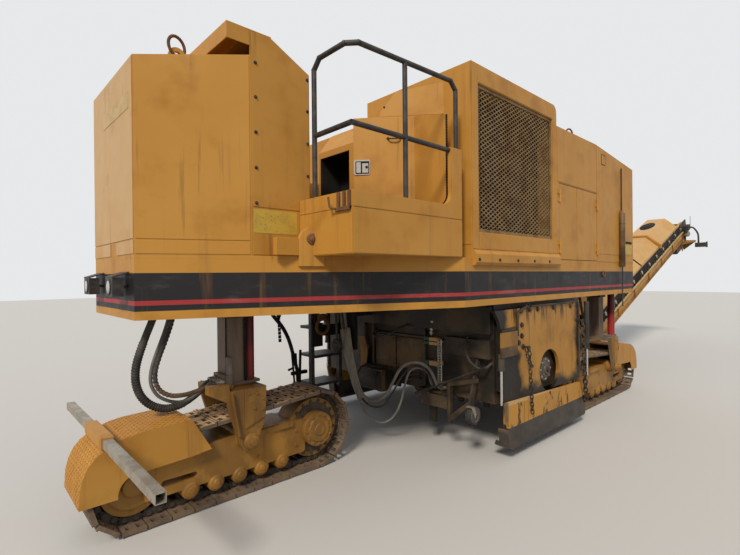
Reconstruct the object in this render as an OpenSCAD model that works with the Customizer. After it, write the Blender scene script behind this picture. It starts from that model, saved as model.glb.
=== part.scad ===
// Cold planer milling machine on three crawler tracks, with a loading conveyor at the rear.
// Millimetres. +X runs towards the conveyor, +Y to the side away from the operator, +Z up.
// Stations are distances along X from the foremost point of the machine; z is height above ground.

/* [Frame] */
// Station of the origin, half-way along the machine
origin_station = 6348.8; // [6000:0.1:6800]
// Station of the frame's front face
frame_front = 274; // [240:2:300]
// Station where the tapered nose meets the straight sides
frame_bend = 2355; // [2300:5:2450]
// Station of the frame's rear face
frame_rear = 6080; // [6000:10:6200]
// Width of the frame's front face
nose_w = 920; // [860:10:980]
// Width over the frame's straight sides
frame_w = 2490; // [2440:10:2540]
// Height of the frame's lower edge
frame_bot = 1357; // [1340:1:1370]
// Height of the deck
frame_top = 1735; // [1725:1:1745]
// Thickness of the frame's side plates
frame_wall = 30; // [20:2:40]
// Thickness of the deck plate
deck_t = 20; // [12:2:30]
// Thickness of the frame's cross plates
cross_t = 24; // [16:2:30]

/* [Front tower] */
// Height of the tower at its front edge
tower_h = 2880; // [2840:5:2920]
// Rise of the tower's roof towards the rear
tower_rise = 110; // [80:5:130]
// Station where the tower's rear housing starts
housing_front = 890; // [870:5:910]
// Station of the housing's rear face
housing_rear = 1336; // [1320:2:1350]
// Station of the housing roof's ridge
roof_ridge = 1040; // [1020:5:1060]
// Height of the housing roof's ridge above the tower's rear edge
roof_rise = 160; // [140:5:180]
// Station of the air scoop's open front edge
scoop_front = 736; // [720:2:750]
// Thickness of the sheet panels
panel_t = 8; // [6:1:12]

/* [Operator platform] */
// Station of the platform's front wall
platform_front = 1250; // [1240:2:1270]
// Station of the platform's rear end
platform_rear = 2330; // [2300:5:2340]
// Height of the platform's side wall
platform_wall_h = 2115; // [2100:5:2130]
// Diameter of the handrail tube
rail_d = 34; // [32:1:42]
// Height of the handrail
rail_h = 3010; // [2980:5:3030]

/* [Cooler and engine hood] */
// Station of the cooler housing's front face
cooler_front = 2460; // [2455:1:2480]
// Station of the cooler housing's rear face
cooler_rear = 3900; // [3890:2:3910]
// Height of the cooler housing
cooler_h = 3256; // [3240:2:3270]
// Depth of the cooler housing across the machine
cooler_depth = 1180; // [1100:10:1200]
// Bar width of the cooler's expanded mesh
mesh_bar = 7; // [5:1:9]
// Height of the engine hood
hood_h = 3065; // [3050:5:3080]
// Station where the hood starts to fall towards the rear
hood_fall = 4885; // [4870:5:4900]
// Height of the hood's rear edge
hood_rear_h = 2958; // [2940:2:2970]
// Height of the top of the side doors
door_top = 2510; // [2490:5:2530]
// Station of the split between the two side doors
door_split = 4362; // [4350:2:4380]

/* [Milling drum] */
// Station of the drum's axis
drum_station = 3780; // [3760:5:3800]
// Height of the drum's axis
drum_z = 675; // [670:1:690]
// Radius of the drum over its pick points
drum_r = 490; // [480:2:500]
// Radius of the bare drum
drum_core_r = 350; // [330:5:370]
// Gap between an end of the drum and the housing's end wall
drum_gap = 105; // [80:5:130]
// Diameter of the drum's stub shafts
shaft_d = 160; // [140:5:180]
// Station of the drum housing's front wall
box_front = 2920; // [2910:2:2940]
// Station of the drum housing's rear wall
box_rear = 4540; // [4520:5:4560]
// Height of the drum housing's lower edge
box_bot = 490; // [480:2:500]
// Height of the lower edge of the side skids
skid_bot = 100; // [90:2:110]

/* [Tracks] */
// Width of a track shoe
shoe_w = 400; // [380:5:420]
// Distance between idler and sprocket
wheel_base = 1410; // [1390:5:1430]
// Radius over the shoes at the idler
idler_r = 275; // [265:1:285]
// Radius over the shoes at the sprocket
sprocket_r = 325; // [315:1:335]
// Thickness of a shoe
shoe_t = 34; // [28:1:40]
// Thickness of the chain under the shoes
chain_t = 46; // [40:1:54]
// Number of shoes on one track
shoes = 30; // [26:1:34]
// Station of the front leg
front_leg_x = 1078; // [1070:2:1090]
// Station of the rear legs
rear_leg_x = 5778; // [5760:2:5800]
// Distance from the centreline to a rear track's middle
rear_track_y = 880; // [870:2:890]
// Side of the square leg column
column_w = 150; // [145:1:160]
// Height of the foot of the legs
foot_z = 790; // [780:1:800]

/* [Conveyor] */
// Station of the conveyor's pivot
conveyor_x = 6600; // [6580:5:6620]
// Height of the conveyor's pivot
conveyor_z = 560; // [550:5:580]
// Rise of the conveyor in degrees
conveyor_rise = 20; // [18:0.5:22]
// Distance from the pivot to the head pulley
conveyor_len = 6273.4; // [6200:0.1:6350]
// Width over the conveyor's side frames
conveyor_w = 800; // [780:5:820]
// Height of the conveyor's side frames
side_h = 330; // [310:5:350]
// Height of the covers above the side frames
cover_h = 260; // [240:5:280]
// Radius of the belt round the head pulley
head_r = 160; // [150:2:170]

/* [Hidden] */
$fn = 48;
seat = 0.3;             // gap between two pieces that only lie against each other
play = 0.05;            // radial play of a pin in its bore
half_w = frame_w / 2;
tower_rear_h = tower_h + tower_rise;
roof_h = tower_rear_h + roof_rise;
nose_half = nose_w / 2;
taper = atan((half_w - nose_half) / (frame_bend - frame_front));
yellow = "goldenrod";
dark = "#3a3733";
rust = "#7a5638";

// Half width of the tapered nose at a station
function nose_y(s) = nose_half + (s - frame_front) * tan(taper);

module at_origin() translate([-origin_station, 0, 0]) children();

// Extrudes a side profile, drawn as station and height, across the machine from y0 to y1
module across(y0, y1) translate([0, y1, 0]) rotate([90, 0, 0]) linear_extrude(y1 - y0) children();

// A box given by its station, y and z limits
module block(s0, s1, y0, y1, z0, z1) translate([s0, y0, z0]) cube([s1 - s0, y1 - y0, z1 - z0]);

// A round bar along Y between two y limits
module bar_y(s, z, r, y0, y1) translate([s, y0, z]) rotate([-90, 0, 0]) cylinder(r = r, h = y1 - y0);

// A round bar along X between two stations
module bar_x(y, z, r, s0, s1) translate([s0, y, z]) rotate([0, 90, 0]) cylinder(r = r, h = s1 - s0);

function unit(v) = v / norm(v);

// Points of a path with each inner corner cut off at a distance c from it
function eased(pts, c) = [
    for (i = [0 : len(pts) - 1])
        each i == 0 || i == len(pts) - 1 ? [pts[i]] :
            [pts[i] + c * unit(pts[i - 1] - pts[i]), pts[i] + c * unit(pts[i + 1] - pts[i])]
];

// A tube that runs straight from point to point, with a ball a little larger than the tube at each joint
module tube_path(pts, r) {
    for (i = [0 : len(pts) - 2]) {
        run = unit(pts[i + 1] - pts[i]);
        translate(pts[i]) rotate([0, acos(run.z), atan2(run.y, run.x)])
            cylinder(r = r, h = norm(pts[i + 1] - pts[i]));
    }
    for (i = [1 : 1 : len(pts) - 2]) translate(pts[i]) sphere(r = r + 1);
}

module mirrored_y() {
    children();
    mirror([0, 1, 0]) children();
}

// Plan of the frame, drawn in by the given inset
module frame_plan(inset) {
    slant = inset / cos(taper);
    polygon([
        [frame_front + inset, nose_y(frame_front + inset) - slant],
        [frame_bend + inset * tan(taper / 2), half_w - inset],
        [frame_rear - inset, half_w - inset],
        [frame_rear - inset, inset - half_w],
        [frame_bend + inset * tan(taper / 2), inset - half_w],
        [frame_front + inset, slant - nose_y(frame_front + inset)]
    ]);
}

sleeve_t = 22;
slide_gap = 0.3;
sleeve_in = column_w / 2 + slide_gap;
sleeve_out = sleeve_in + sleeve_t;
front_sleeve_top = 2560;
rear_sleeve_top = 2380;
lift_r = 40;            // radius of a leg's lift cylinder
lift_gap = 12;
front_lift = [146, 0];  // from the front column's axis to its lift cylinder's
rear_lift = [90, 165];  // the same at the rear, with y towards the machine's side

track_dx = -23;         // from a leg's axis to the middle of its track
track_x0 = front_leg_x + track_dx;

module leg_place(side = 0) {
    if (side == 0) translate([front_leg_x, 0, 0]) children();
    else translate([rear_leg_x, side * rear_track_y, 0]) children();
}

function lift_at(side) = side == 0 ? front_lift : [rear_lift.x, side * rear_lift.y];

// The fixed square sleeve of a leg, and the wells for the column and its lift cylinder
module leg_sleeve(top, grow = 0) {
    out = sleeve_out + grow;
    translate([-out, -out, frame_bot - 60]) cube([2 * out, 2 * out, top - frame_bot + 60]);
}

module leg_well(top, lift) {
    translate([-sleeve_in, -sleeve_in, frame_bot - 100]) cube([2 * sleeve_in, 2 * sleeve_in, top - frame_bot + 200]);
    translate([lift.x, lift.y, frame_bot - 100]) cylinder(r = lift_r + lift_gap, h = top - frame_bot + 200);
}

// Stations of the plates that tie the two frame sides together
frame_crosses = [1500, frame_bend, box_front, box_rear - cross_t, 5300];

module main_frame() color(yellow) at_origin() {
    wall_h = frame_top - deck_t - seat - frame_bot;
    translate([0, 0, frame_bot]) linear_extrude(wall_h) difference() {
        frame_plan(0);
        frame_plan(frame_wall);
    }
    for (s = frame_crosses)
        translate([0, 0, frame_bot]) linear_extrude(wall_h) intersection() {
            translate([s, -half_w]) square([cross_t, frame_w]);
            frame_plan(1);
        }
}

module deck_plate() color(yellow) at_origin() difference() {
    union() {
        translate([0, 0, frame_top - deck_t]) linear_extrude(deck_t) frame_plan(0);
        for (end = [
            [wide_route[0], wide_d], [wrapped_route[0], wrapped_d], [grey_route[0], grey_d],
            [thick_route[0], thick_d], [thin_route[0], thin_d], [low_route[0], low_d]
        ])
            translate([end[0].x, end[0].y, frame_top - deck_t - hose_flange_t]) cylinder(r = 0.75 * end[1], h = hose_flange_t + 1);
    }
    for (side = [-1, 0, 1]) leg_place(side) {
        leg_sleeve(frame_top + 1, seat);
        leg_well(frame_top, lift_at(side));
    }
}

module leg_sleeves() color(dark) at_origin() for (side = [-1, 0, 1]) leg_place(side) {
    top = side == 0 ? front_sleeve_top : rear_sleeve_top;
    difference() {
        leg_sleeve(top);
        leg_well(top, lift_at(side));
    }
}

// The tower: the plan of the nose cut by a sloping roof
tower_slope = (tower_rear_h - tower_h) / (housing_front - frame_front);

module tower_body(inset) intersection() {
    translate([0, 0, frame_top - 1]) linear_extrude(roof_h)
        polygon([
            [frame_front + inset, nose_y(frame_front) - inset],
            [housing_front - inset, nose_y(housing_front) - inset],
            [housing_front - inset, inset - nose_y(housing_front)],
            [frame_front + inset, inset - nose_y(frame_front)]
        ]);
    across(-half_w, half_w)
        polygon([
            [frame_front, frame_top + seat],
            [housing_front, frame_top + seat],
            [housing_front, tower_rear_h - inset],
            [frame_front, tower_h - inset]
        ]);
}

eye_r = 22;             // radius of a lifting eye's hole
eye_t = 24;

// A lifting eye plate that stands on a roof, seen along Y
module eye_plate(s, z, y) translate([s, y + eye_t / 2, z]) rotate([90, 0, 0]) linear_extrude(eye_t) difference() {
    union() {
        translate([-50, -40]) square([100, 70]);
        translate([0, 30]) circle(r = 50);
    }
    translate([0, 34]) circle(r = eye_r);
}

tower_eye_s = 534;
tower_eye_z = tower_h + (tower_eye_s - frame_front) * tower_slope;
tower_eye_y = nose_y(tower_eye_s) - 120;

module front_tower() color(yellow) at_origin() {
    difference() {
        tower_body(0);
        tower_body(panel_t);
    }
    for (side = [-1, 1]) eye_plate(tower_eye_s, tower_eye_z, side * tower_eye_y);
}

housing_y = nose_y(housing_front);

module tower_housing() color(yellow) at_origin() difference() {
    across(-housing_y, housing_y)
        polygon([
            [housing_front + seat, frame_top + seat],
            [housing_rear, frame_top + seat],
            [housing_rear, tower_rear_h],
            [roof_ridge, roof_h - panel_t - seat],
            [housing_front + seat, roof_h - panel_t - seat]
        ]);
    across(panel_t - housing_y, housing_y - panel_t)
        polygon([
            [housing_front - 1, frame_top],
            [housing_rear - panel_t, frame_top],
            [housing_rear - panel_t, tower_rear_h - panel_t],
            [roof_ridge, roof_h - 3 * panel_t],
            [housing_front - 1, roof_h - 3 * panel_t]
        ]);
}

scoop_lip = 100;

module air_scoop() color(yellow) at_origin() difference() {
    block(scoop_front, roof_ridge, -housing_y, housing_y, roof_h - scoop_lip, roof_h);
    block(scoop_front + panel_t, roof_ridge + 1, panel_t - housing_y, housing_y - panel_t, roof_h - scoop_lip - 1, roof_h - panel_t);
    block(housing_front, roof_ridge + 1, -half_w, half_w, roof_h - scoop_lip - 1, roof_h - panel_t);
}

// Operator platform: side wall, front wall and the rear post with its rounded inner corner
platform_t = 30;
post_h = 2540;
post_w = 130;
corner_r = 90;
floor_t = 20;
floor_in = 60;          // y of the inner edge of the platform's floor
floor_z = frame_top + seat + floor_t;

module operator_platform() color(yellow) at_origin() {
    across(-half_w, platform_t - half_w) difference() {
        union() {
            translate([platform_front, frame_top + seat]) square([platform_rear - platform_front, platform_wall_h - frame_top - seat]);
            translate([platform_rear - post_w, frame_top + seat]) square([post_w, post_h - frame_top - seat]);
            translate([platform_rear - post_w - corner_r, platform_wall_h]) square([corner_r + 1, corner_r]);
        }
        translate([platform_rear - post_w - corner_r, platform_wall_h + corner_r]) circle(r = corner_r);
    }
    block(platform_front, platform_front + platform_t, platform_t - half_w - 1, -housing_y - seat, frame_top + seat, platform_wall_h);
    block(platform_rear - platform_t, platform_rear, platform_t - half_w - 1, -860, frame_top + seat, post_h);
    block(platform_front, platform_rear, platform_t - half_w - 1, -housing_y - seat, frame_top + seat, floor_z);
    block(housing_rear + seat, platform_rear, -housing_y - 1, floor_in, frame_top + seat, floor_z);
}

rail_r = rail_d / 2;
rail_y = half_w - rail_r - 5;

module handrail() color(dark) at_origin() {
    front = platform_front + platform_t / 2;
    rear = platform_rear - 40;
    inner = -850;
    tube_path(eased([
        [front, inner, platform_wall_h + seat],
        [front, inner, rail_h],
        [front, -rail_y, rail_h],
        [rear, -rail_y, rail_h + 30],
        [rear, -rail_y, post_h + seat]
    ], 60), rail_r);
    tube_path([[front, -rail_y, 2520], [platform_rear - post_w - seat, -rail_y, 2520]], rail_r);
    tube_path([[front, inner, 2520], [front, -rail_y, 2520]], rail_r);
    tube_path([[1735, -rail_y, platform_wall_h + seat], [1735, -rail_y, rail_h + 12]], rail_r);
}

// Console behind the platform: an angled cowl panel over a cabinet
console_h = 2900;

module console() color(yellow) at_origin() {
    difference() {
        translate([0, 0, floor_z + seat]) linear_extrude(console_h - floor_z - seat)
            polygon([[1970, floor_in], [1970, -420], [2440, -970], [2440, floor_in]]);
        block(1960, 2200, -367, floor_in - 25, 2320, 2660);
        across(-half_w, floor_in + 1) polygon([[1960, console_h + 1], [1960, 2700], [2120, console_h + 1]]);
    }
}

tank_h = 2450;

module water_tank() color(yellow) at_origin()
    block(1400, 2430, 120, half_w - 10, frame_top + seat, tank_h);

cooler_y0 = -half_w;
cooler_y1 = -half_w + cooler_depth;
mesh_s0 = 2550;
mesh_s1 = 3810;
mesh_z0 = 1940;
mesh_z1 = 3105;
ledge_z = 1800;         // height of the cooler ledge's upper edge
ledge_drop = 59;        // how far the ledge reaches down over the frame
cooler_r = 70;

// The ledge below the cooler stands out from the side, seen along X
module cooler_ledge() translate([cooler_front, 0, 0]) rotate([90, 0, 90]) linear_extrude(cooler_rear - cooler_front)
    polygon([
        [cooler_y0 + 1, frame_top + seat], [cooler_y0 - seat, frame_top + seat], [cooler_y0 - seat, frame_top - ledge_drop],
        [cooler_y0 - 23, frame_top - ledge_drop], [cooler_y0 - 38, frame_top - 35], [cooler_y0 - 38, ledge_z - 35],
        [cooler_y0 - 17, ledge_z - 8], [cooler_y0 + 1, ledge_z]
    ]);

module cooler_housing() color(yellow) at_origin() {
    cooler_ledge();
    cooler_box();
}

module cooler_box() difference() {
    across(cooler_y0, cooler_y1) union() {
        translate([cooler_front, frame_top + seat]) square([cooler_rear - cooler_front, cooler_h - frame_top - seat - cooler_r]);
        translate([cooler_front, cooler_h - cooler_r - 1]) square([cooler_rear - cooler_front - cooler_r, cooler_r + 1]);
        translate([cooler_rear - cooler_r, cooler_h - cooler_r]) circle(r = cooler_r);
    }
    block(mesh_s0, mesh_s1, cooler_y0 - 1, cooler_y1 - 60, mesh_z0, mesh_z1);
}

mesh_cell_w = 120;
mesh_cell_h = 80;
mesh_t = 6;
mesh_frame = 30;

// Expanded diamond mesh inside a flat border
module cooler_mesh() color(rust) at_origin() across(cooler_y0 + 12, cooler_y0 + 12 + mesh_t) {
    w = mesh_s1 - mesh_s0 - 2 * seat;
    h = mesh_z1 - mesh_z0 - 2 * seat;
    cols = round((w - 2 * mesh_frame) / mesh_cell_w);
    rows = 2 * round((h - 2 * mesh_frame) / mesh_cell_h);
    cell_w = (w - 2 * mesh_frame) / cols;
    cell_h = (h - 2 * mesh_frame) / (rows + 1) * 2;
    translate([mesh_s0 + seat, mesh_z0 + seat]) {
        difference() {
            square([w, h]);
            translate([mesh_frame, mesh_frame]) square([w - 2 * mesh_frame, h - 2 * mesh_frame]);
        }
        difference() {
            translate([mesh_frame - 1, mesh_frame - 1]) square([w - 2 * mesh_frame + 2, h - 2 * mesh_frame + 2]);
            for (i = [0 : cols], j = [0 : rows - 1]) {
                x = mesh_frame + (i + (j % 2) / 2) * cell_w;
                z = mesh_frame + (j + 0.5) * cell_h / 2;
                if (x < w - mesh_frame - cell_w / 4 && x > mesh_frame + cell_w / 4)
                    translate([x, z]) polygon([
                        [-cell_w / 2 + 1.5 * mesh_bar, 0], [0, cell_h / 2 - mesh_bar],
                        [cell_w / 2 - 1.5 * mesh_bar, 0], [0, mesh_bar - cell_h / 2]
                    ]);
            }
        }
    }
}

module cooler_core() color(dark) at_origin()
    block(mesh_s0 + seat, mesh_s1 - seat, cooler_y0 + 150, cooler_y0 + 330, mesh_z0 + seat, mesh_z1 - seat);

hood_front = cooler_rear + seat;
door_s0 = 3950;
door_s1 = 4890;
door_z0 = 1745;
door_t = 30;

door_gap = 6;
hinge_x = 3;            // from the door opening's edge to the hinge axis
knuckle_r = 9;
knuckle_h = 40;
knuckle_gap = 1;
hinge_pin_r = 4.5;
hinge_y = half_w + knuckle_r + 1;
leaf_t = 6;
leaf_w = 45;
hinge_heights = [door_z0 + 130, door_top - 130];

// The hood's half of a hinge: a knuckle above and below the door's, and the pin through all three
module hinge_half(hinge_s, dir, side) translate([hinge_s, 0, 0]) mirror([dir < 0 ? 1 : 0, 0, 0]) mirror([0, side > 0 ? 1 : 0, 0])
    for (z = hinge_heights) {
        for (up = [-1, 1]) translate([0, 0, z + up * (knuckle_h + knuckle_gap)]) {
            block(hinge_x - leaf_w, hinge_x, -half_w - leaf_t, 1 - half_w, -knuckle_h / 2, knuckle_h / 2);
            translate([hinge_x, -hinge_y, -knuckle_h / 2]) cylinder(r = knuckle_r, h = knuckle_h);
        }
        translate([hinge_x, -hinge_y, z - 1.5 * knuckle_h]) cylinder(r = hinge_pin_r, h = 3 * knuckle_h);
    }

// Engine hood: hollow shell with the door openings cut on both sides
module hood_profile(inset) polygon([
    [hood_front + inset, frame_top + seat],
    [frame_rear - inset, frame_top + seat],
    [frame_rear - inset, hood_rear_h - inset],
    [hood_fall, hood_h - inset],
    [hood_front + inset, hood_h - inset]
]);

hood_t = 30;            // the hood's walls are as thick as its doors
hood_eyes = [4480, 5330];
hood_eye_y = 1120;

// Cover over the machinery on the far side of the cooler
module side_hood() color(yellow) at_origin() difference() {
    block(cooler_front, cooler_rear, cooler_y1 + seat, half_w, frame_top + seat, hood_h);
    block(cooler_front + hood_t, cooler_rear - hood_t, cooler_y1 + hood_t, half_w - hood_t, frame_top, hood_h - hood_t);
}

module engine_hood() color(yellow) at_origin() {
    difference() {
        across(-half_w, half_w) hood_profile(0);
        across(hood_t - half_w, half_w - hood_t) hood_profile(hood_t);
        block(hood_front + hood_t, frame_rear - hood_t, hood_t - half_w, half_w - hood_t, frame_top, frame_top + 2 * hood_t);
        for (side = [-1, 1])
            block(door_s0, door_s1, side * half_w - 50, side * half_w + 50, door_z0, door_top);
    }
    for (side = [-1, 1]) {
        hinge_half(door_s0, 1, side);
        hinge_half(door_s1, -1, side);
    }
    for (s = hood_eyes)
        eye_plate(s, s < hood_fall ? hood_h : hood_h - (s - hood_fall) * (hood_h - hood_rear_h) / (frame_rear - hood_fall), -hood_eye_y);
}

engine_gap = 150;
engine_half = 420;

module engine_block() color(dark) at_origin()
    block(hood_front + engine_gap, rear_leg_x - 540, -engine_half, engine_half, frame_top + seat, door_top + 190);

// Side doors with leaf hinges. A door is drawn from its hinge edge; dir says which way it runs along X
module hood_door(hinge_s, dir, width, side) at_origin() translate([hinge_s, 0, 0]) mirror([dir < 0 ? 1 : 0, 0, 0]) mirror([0, side > 0 ? 1 : 0, 0]) {
    block(door_gap, width - door_gap, -half_w, door_t - half_w, door_z0 + door_gap, door_top - door_gap);
    for (z = hinge_heights) difference() {
        union() {
            block(hinge_x, hinge_x + leaf_w, -half_w - leaf_t, 1 - half_w, z - knuckle_h / 2, z + knuckle_h / 2);
            translate([hinge_x, -hinge_y, z - knuckle_h / 2]) cylinder(r = knuckle_r, h = knuckle_h);
        }
        translate([hinge_x, -hinge_y, z - knuckle_h]) cylinder(r = hinge_pin_r + play, h = 2 * knuckle_h);
    }
}

module door_near_front() color(yellow) hood_door(door_s0, 1, door_split - door_s0, -1);
module door_near_rear() color(yellow) hood_door(door_s1, -1, door_s1 - door_split, -1);
module door_far_front() color(yellow) hood_door(door_s0, 1, door_split - door_s0, 1);
module door_far_rear() color(yellow) hood_door(door_s1, -1, door_s1 - door_split, 1);

lamp_y = 290;
lamp_z = 1550;

module front_lamps() color(dark) at_origin() for (side = [-1, 1]) translate([frame_front - seat, side * lamp_y, lamp_z]) {
    translate([-30, -30, -8]) cube([30, 60, 16]);
    translate([-90, -75, -55]) cube([61, 150, 110]);
}

// Step ladder on the far side, hung from the frame
ladder_s = frame_bend - 75;
ladder_w = 370;
ladder_y = half_w - 605;

module ladder() color(dark) at_origin() {
    for (s = [ladder_s, ladder_s + ladder_w]) block(s, s + 40, ladder_y, ladder_y + 50, 400, frame_top - deck_t - seat);
    for (z = [440, 740, 1040]) block(ladder_s + 39, ladder_s + ladder_w + 1, ladder_y - 20, ladder_y + 260, z, z + 30);
}

marker_s = 5600;
marker_r = 22;
marker_z = frame_top + 45;
marker_len = 600;
marker_rod = 500;

module marker_tube() color(yellow) at_origin() mirrored_y() translate([marker_s, -half_w - marker_r, marker_z]) {
    cylinder(r = marker_r - seat, h = marker_len);
    translate([0, 0, marker_len - 1]) cylinder(r = 8, h = marker_rod);
}

// Drum housing: front and rear walls, roof and end walls with the drum's bearings, open below
box_t = 30;
box_y = half_w - 105;
drum_len = 2 * (box_y - box_t - drum_gap);
box_top = frame_bot - seat;

module drum_housing() color(dark) at_origin() difference() {
    union() {
        across(-box_y, box_y) polygon([
            [box_front, box_bot], [box_front, box_top], [box_rear, box_top], [box_rear, box_bot]
        ]);
        board_guides();
    }
    across(box_t - box_y, box_y - box_t) polygon([
        [box_front + box_t, box_bot - 1], [box_front + box_t, box_top - box_t],
        [box_rear - box_t, box_top - box_t], [box_rear - box_t, box_bot - 1]
    ]);
    bar_y(drum_station, drum_z, shaft_d / 2 + play, -box_y - 1, box_y + 1);
    block(box_rear - box_t - 1, box_rear + 1, 240 - box_y, box_y - 240, box_bot - 1, 1000);
}

board_half = box_y - 160;
guide_gap = 5;

module board_guides() mirrored_y() {
    block(box_rear - 1, box_rear + guide_gap + 60, board_half + seat, board_half + 35, box_bot, 1150);
}

plate_hole_r = 200;
plate_t = 30;           // thickness of the side plate

skid_t = 25;            // thickness of the skid's outer plate
skid_gap = 5;
plate_y = half_w - skid_t - skid_gap;

// Outer side plate with the round hole round the drum's hub
module side_plate() across(-plate_y, plate_t - plate_y) difference() {
    polygon([
        [box_front + 20, box_bot], [box_front + 20, 1050], [box_front - 40, 1210], [box_front - 110, 1300],
        [box_rear - 70, 1300], [box_rear - 70, box_bot]
    ]);
    translate([drum_station, drum_z]) circle(r = plate_hole_r);
}

ear_t = 30;
ear_y = box_y + skid_gap;       // inner face of the skid's ears
ear_runs = [[box_front + 130, box_front + 380], [box_rear - 390, box_rear - 160]];

// Webs to the drum housing, and the wear pads that guide the skid's ears
module side_plate_webs() {
    for (s = [box_front + 25, box_rear - 130])
        block(s, s + 40, plate_t - plate_y - 1, -box_y - seat, 600, 1160);
    for (run = ear_runs)
        block(run[0] + 80, run[1] - 80, plate_t - plate_y - 1, -ear_y - ear_t - seat, 500, 690);
}

module side_plate_near() color(dark) at_origin() {
    side_plate();
    side_plate_webs();
}

module side_plate_far() color(dark) at_origin() mirror([0, 1, 0]) {
    side_plate();
    side_plate_webs();
}

sole_w = 150;
sole_top = 155;

// Floating skid that rides on the road beside the cut: outer plate, sole, turned-up nose and two guided ears
module skid() {
    across(-half_w, skid_t - half_w) polygon([
        [box_front + 10, box_bot + 25], [box_front + 55, 300], [box_front + 65, 125], [box_front + 110, skid_bot],
        [box_rear - 40, skid_bot - 10], [box_rear - 5, skid_bot], [box_rear - 20, 160], [box_rear - 140, box_bot - 33]
    ]);
    across(-half_w, sole_w - half_w) polygon([
        [box_front + 65, 125], [box_front + 110, skid_bot], [box_rear - 40, skid_bot - 10], [box_rear - 20, 115],
        [box_front + 130, 130], [box_front + 90, sole_top]
    ]);
    across(-half_w, -ear_y) polygon([
        [box_front + 46, 280], [box_front + 66, 280], [box_front + 90, sole_top - 5], [box_front + 65, 125]
    ]);
    for (run = ear_runs) block(run[0], run[1], -ear_y - ear_t, -ear_y, 120, 700);
}

module skid_near() color(yellow) at_origin() skid();
module skid_far() color(yellow) at_origin() mirror([0, 1, 0]) skid();

// Milling drum with holders and picks along two helical flights
pick_rows = 30;
pick_step = 36;         // turn from one pick to the next, in degrees

// One pick in its holder, on the drum's surface
module pick() linear_extrude(56, center = true) polygon([
    [drum_core_r - 15, -55], [drum_core_r + 60, -40], [drum_r - 3, 62], [drum_r - 20, 76], [drum_core_r + 40, 45], [drum_core_r - 15, 60]
]);

module cutting_drum() color(rust) at_origin() translate([drum_station, 0, drum_z]) rotate([90, 0, 0]) {
    cylinder(r = drum_core_r, h = drum_len, center = true, $fn = 96);
    cylinder(r = shaft_d / 2, h = 2 * box_y + 40, center = true);
    for (i = [0 : pick_rows - 1], flip = [-1, 1]) {
        along = (i + 0.5) / pick_rows * (drum_len / 2 - 40);
        rotate([0, 0, i * pick_step + (flip > 0 ? 0 : 180)])
            translate([0, 0, flip * along])
                pick();
    }
}

board_notch = 400;      // half width of the notch that clears the primary conveyor
board_notch_z = 300;

// Scraper board that closes the housing's rear opening and slides up and down behind it
module moldboard() color(dark) at_origin() {
    difference() {
        block(box_rear + guide_gap, box_rear + guide_gap + 30, -board_half, board_half, 160, 760);
        block(box_rear, box_rear + 100, -board_notch, board_notch, board_notch_z, 761);
    }
    block(box_rear + guide_gap, box_rear + guide_gap + 55, -board_half, board_half, 160, 220);
}

grade_y = -1050;
grade_s = 2735;
grade_z = 414;
grade_r = 75;

module grade_arm() color(dark) at_origin() difference() {
    union() {
        across(grade_y + 40, grade_y + 60) polygon([[grade_s - 30, grade_z - 30], [grade_s + 40, grade_z - 30], [box_front - seat, 900], [box_front - seat, 1000]]);
        bar_y(grade_s, grade_z, 30, grade_y + 32, grade_y + 60);
    }
    bar_y(grade_s, grade_z, 12 + play, grade_y - 60, grade_y + 100);
}

module grade_wheel() color(dark) at_origin() {
    bar_y(grade_s, grade_z, grade_r, grade_y - 20, grade_y + 25);
    bar_y(grade_s, grade_z, 12, grade_y - 20, grade_y + 62);
}

// Track loop round the idler and the sprocket. A point at arc length u, set out by off from the chain's outside
loop_idler = idler_r - shoe_t;
loop_sprocket = sprocket_r - shoe_t;
loop_tilt = 2 * asin((sprocket_r - idler_r) / norm([wheel_base, sprocket_r - idler_r]));
loop_arc_i = (180 - loop_tilt) * PI / 180 * loop_idler;
loop_arc_s = (180 + loop_tilt) * PI / 180 * loop_sprocket;
loop_len = 2 * wheel_base + loop_arc_i + loop_arc_s;
idler_c = [-wheel_base / 2, idler_r];
sprocket_c = [wheel_base / 2, sprocket_r];

function turn(a) = [cos(a), sin(a)];
function loop_at(u, off) =
    u < wheel_base ? [wheel_base / 2 - u, shoe_t - off] :
    u < wheel_base + loop_arc_i ?
        idler_c + (loop_idler + off) * turn(-90 - (u - wheel_base) / loop_arc_i * (180 - loop_tilt)) :
    u < 2 * wheel_base + loop_arc_i ?
        idler_c + (loop_idler + off) * turn(90 + loop_tilt) + (u - wheel_base - loop_arc_i) * turn(loop_tilt) :
        sprocket_c + (loop_sprocket + off) * turn(90 + loop_tilt - (u - 2 * wheel_base - loop_arc_i) / loop_arc_s * (180 + loop_tilt));

shoe_pitch = loop_len / shoes;
shoe_gap = 0.06;
loop_in = [for (i = [0 : 95]) loop_at(i / 96 * loop_len, -chain_t)];

module track_loop() rotate([90, 0, 0]) linear_extrude(shoe_w, center = true) difference() {
    polygon([
        for (k = [0 : shoes - 1], p = [[shoe_gap, 0], [shoe_gap, shoe_t], [1 - shoe_gap, shoe_t], [1 - shoe_gap, 0]])
            loop_at((k + p[0]) * shoe_pitch, p[1])
    ]);
    polygon(loop_in);
}

track_pivot_x = 55;     // from the middle of the track to its pivot
track_pivot_z = 405;
pivot_r = 42;
yoke_in = shoe_w / 2 + 12;
yoke_t = 30;
kingpin_r = 55;
kingpin_h = 120;
wheel_w = 200;
track_side = 300;
wheel_gap = 3;
slot_r = 22;

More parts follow.
